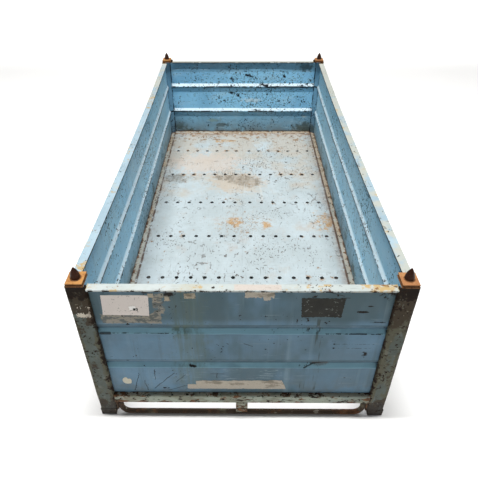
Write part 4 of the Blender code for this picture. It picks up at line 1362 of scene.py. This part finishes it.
def labels(front):
    """Blank paper, tape and sticker remains on the front end. None carries any lettering."""
    paper = paper_material("paper_label", (0.71, 0.65, 0.605), (0.57, 0.51, 0.465), 0.35, 40)
    tan = paper_material("paper_remains", (0.42, 0.37, 0.28), (0.17, 0.15, 0.11), 0.7, 41)
    tape = paper_material("old_tape", (0.46, 0.415, 0.345), (0.24, 0.215, 0.17), 0.5, 42)
    cream = paper_material("cream_sticker", (0.58, 0.55, 0.44), (0.36, 0.32, 0.24), 0.5, 43)
    torn = paper_material("torn_paper", (0.66, 0.6, 0.5), (0.16, 0.12, 0.09), 0.8, 44)
    light_tape = paper_material("rail_tape", (0.475, 0.435, 0.4), (0.37, 0.32, 0.28), 0.5, 45)
    white = paper_material("torn_white", (0.93, 0.91, 0.88), (0.66, 0.6, 0.55), 0.3, 47)
    hole = paper_material("torn_hole", (0.02, 0.018, 0.015), (0.04, 0.034, 0.028), 0.3, 48)
    dark = dark_label_material(46)

    def rail_top(along, across, off):
        return Vector((along, -across, RAIL_TOP - off))

    def post_face(along, height, off):
        return Vector((along, -HALF_Y + 0.0006 + off, height))

    rail_out, rail_in = HALF_Y - 0.003, HALF_Y - RAIL_WIDTH + 0.004
    paper_corners = [(-0.496, 0.594), (-0.331, 0.59), (-0.324, 0.691), (-0.489, 0.691)]
    dark_corners = [(0.2125, 0.584), (0.354, 0.585), (0.36, 0.679), (0.207, 0.68)]
    tape_low = [(-0.2215, 0.161), (0.18, 0.162), (0.172, 0.191), (-0.2215, 0.189)]
    tape_high = [(-0.186, 0.186), (0.174, 0.187), (0.16, 0.218), (-0.185, 0.213)]
    post_corners = [(-0.583, 0.6), (-0.534, 0.596), (-0.532, 0.652), (-0.578, 0.648)]
    for name, material, slot, sheets in (
        ("front_paper_label", paper, "wall_paint",
         [(front, paper_corners, 1, 0.001, (40, 24), 0, 0.0012)]),
        ("front_label_tear", white, "wall_paint",
         [(front, patch(-0.398, 0.619, -0.374, 0.638), 2, 0.005, (14, 12), 0.0006, 0.002)]),
        ("front_label_hole", hole, "wall_paint",
         [(front, patch(-0.385, 0.616, -0.368, 0.627), 8, 0.003, (14, 12), 0.0008)]),
        ("front_paper_remains", tan, "wall_paint",
         [(front, patch(-0.325, 0.68, -0.306, 0.699), 4),
          (front, patch(-0.2, 0.676, -0.161, 0.701), 5),
          (front, patch(-0.268, 0.664, -0.254, 0.684), 5.5)]),
        ("front_dark_label", dark, "wall_paint", [(front, dark_corners, 6, 0.0035, (60, 40))]),
        ("front_tape_strip", tape, "wall_paint",
         [(front, tape_low, 7, 0.003, (110, 12)),
          (front, tape_high, 7.5, 0.003, (110, 12), 0.0003)]),
        ("front_tape_remains", tape, "wall_paint",
         [(front, patch(0.012, 0.682, 0.112, 0.712), 8, 0.008, (44, 14)),
          (front, patch(0.075, 0.668, 0.098, 0.69), 8.5)]),
        ("rail_tape_strip", light_tape, "rail_paint",
         [(rail_top, [(-0.026, rail_out), (0.134, rail_out), (0.134, rail_in), (-0.026, rail_in)],
           10, 0.002, (60, 12))]),
        ("post_paper_remains", torn, "post_paint", [(post_face, post_corners, 11, 0.01, (26, 24))]),
    ):
        make(name, joined([ragged_sheet(*sheet) for sheet in sheets]), material, slot)
    make("front_oval_sticker", oval_sheet(front, (-0.465, 0.213), (0.018, 0.0215)),
         cream, "wall_paint")


# Studio


def place_in_scene(name, data, matrix):
    holder = bpy.data.objects.new(name, data)
    holder.matrix_world = matrix
    bpy.context.scene.collection.objects.link(holder)
    return holder


def lamp(name, size, energy, place, colour=(1, 1, 1), spread=180):
    """A rectangular lamp that shines straight down, its light spread over some degrees."""
    light = bpy.data.lights.new(name, "AREA")
    light.shape = "RECTANGLE"
    light.size, light.size_y = size
    light.energy = energy
    light.color = colour
    light.spread = radians(spread)
    place_in_scene(name, light, Matrix.Translation(place))


def studio():
    """A pale floor, a high lamp over the container's front half, an even, weaker sky, and two
    lamps that keep the floor white, far behind the container and under its front rail."""
    mesh = bpy.data.meshes.new("studio_floor")
    square = [(u * FLOOR_REACH, v * FLOOR_REACH, 0)
              for u, v in ((-1, -1), (1, -1), (1, 1), (-1, 1))]
    mesh.from_pydata(square, [], [(0, 1, 2, 3)])
    mesh.materials.append(stage_material(50))
    place_in_scene("studio_floor", mesh, Matrix.Translation((0, 0, -0.0005)))

    world = bpy.data.worlds.new("studio_sky")
    world.use_nodes = True
    sky = world.node_tree.nodes["Background"].inputs
    sky["Color"].default_value = (0.97, 0.985, 1, 1)
    sky["Strength"].default_value = 0.2
    bpy.context.scene.world = world

    lamp("overhead_lamp", (5, 0.3), 1250, (-0.3, -1.05, 9.3), colour=(1, 0.99, 0.97))
    lamp("backdrop_lamp", (18, 8), 1500, (0, 8.5, 4), spread=40)
    lamp("low_lamp", (1.06, 0.08), 0.55, (0, -1.19, 0.072))
    bpy.context.scene.view_settings.view_transform = "Standard"


def camera():
    """The viewpoint: in front of the short end, above it and looking down into it."""
    pitch, yaw, roll = 0.65218, -0.00967, -0.00324
    ahead = Vector((sin(yaw) * cos(pitch), cos(yaw) * cos(pitch), -sin(pitch)))
    level = Vector((cos(yaw), -sin(yaw), 0))
    upward = level.cross(ahead)
    right = level * cos(roll) + upward * sin(roll)
    up = upward * cos(roll) - level * sin(roll)
    lens = bpy.data.cameras.new("camera")
    lens.sensor_width = 36
    lens.lens = 35.83
    turn = Matrix((right, up, -ahead)).transposed().to_4x4()
    place = Matrix.Translation((0.0019, -2.4144, 1.8385)) @ turn
    bpy.context.scene.camera = place_in_scene("camera", lens, place)


camera()
studio()

post_paint = post_material(1)
frame_paint = frame_material(2)
inner_ends = inner_wall_material(True, 3)
inner_sides = inner_wall_material(False, 4)
outer_walls = outer_wall_material(False, 6)
outer_materials = {name: outer_walls for name in ("rear", "left", "right")}
outer_materials["front"] = outer_wall_material(True, 5)
inner_materials = {name: inner_ends if name in ENDS else inner_sides for name in (*ENDS, *SIDES)}

surfaces = walls(outer_materials, inner_materials)
corner_posts(post_paint, inner_ends)
side_bars("top_rail", "bar", (rail_material(True, 7), rail_material(False, 8)), "rail_paint",
          top_rail_profile, 0.0006)
side_bars("bottom_rail", "channel", (frame_paint, frame_paint), "frame_paint",
          bottom_rail_profile, 0.0008)
strip_paint = strip_material(9)
side_bars("edge_strip", "bar", (strip_paint, strip_paint), "strip_paint",
          edge_strip_profile, 0.0004)
cross_members(frame_paint)
floor_plates(floor_material(10))
caps_cones_feet(cap_material(11), cone_material(12), post_paint)
skid_bars(bar_material(13), frame_paint)
welds(weld_material("rusty_weld", (0.2, 0.09, 0.035), (0.075, 0.035, 0.018), 14),
      weld_material("painted_weld", (0.46, 0.4, 0.25), (0.2, 0.1, 0.04), 15))
labels(surfaces["front"])
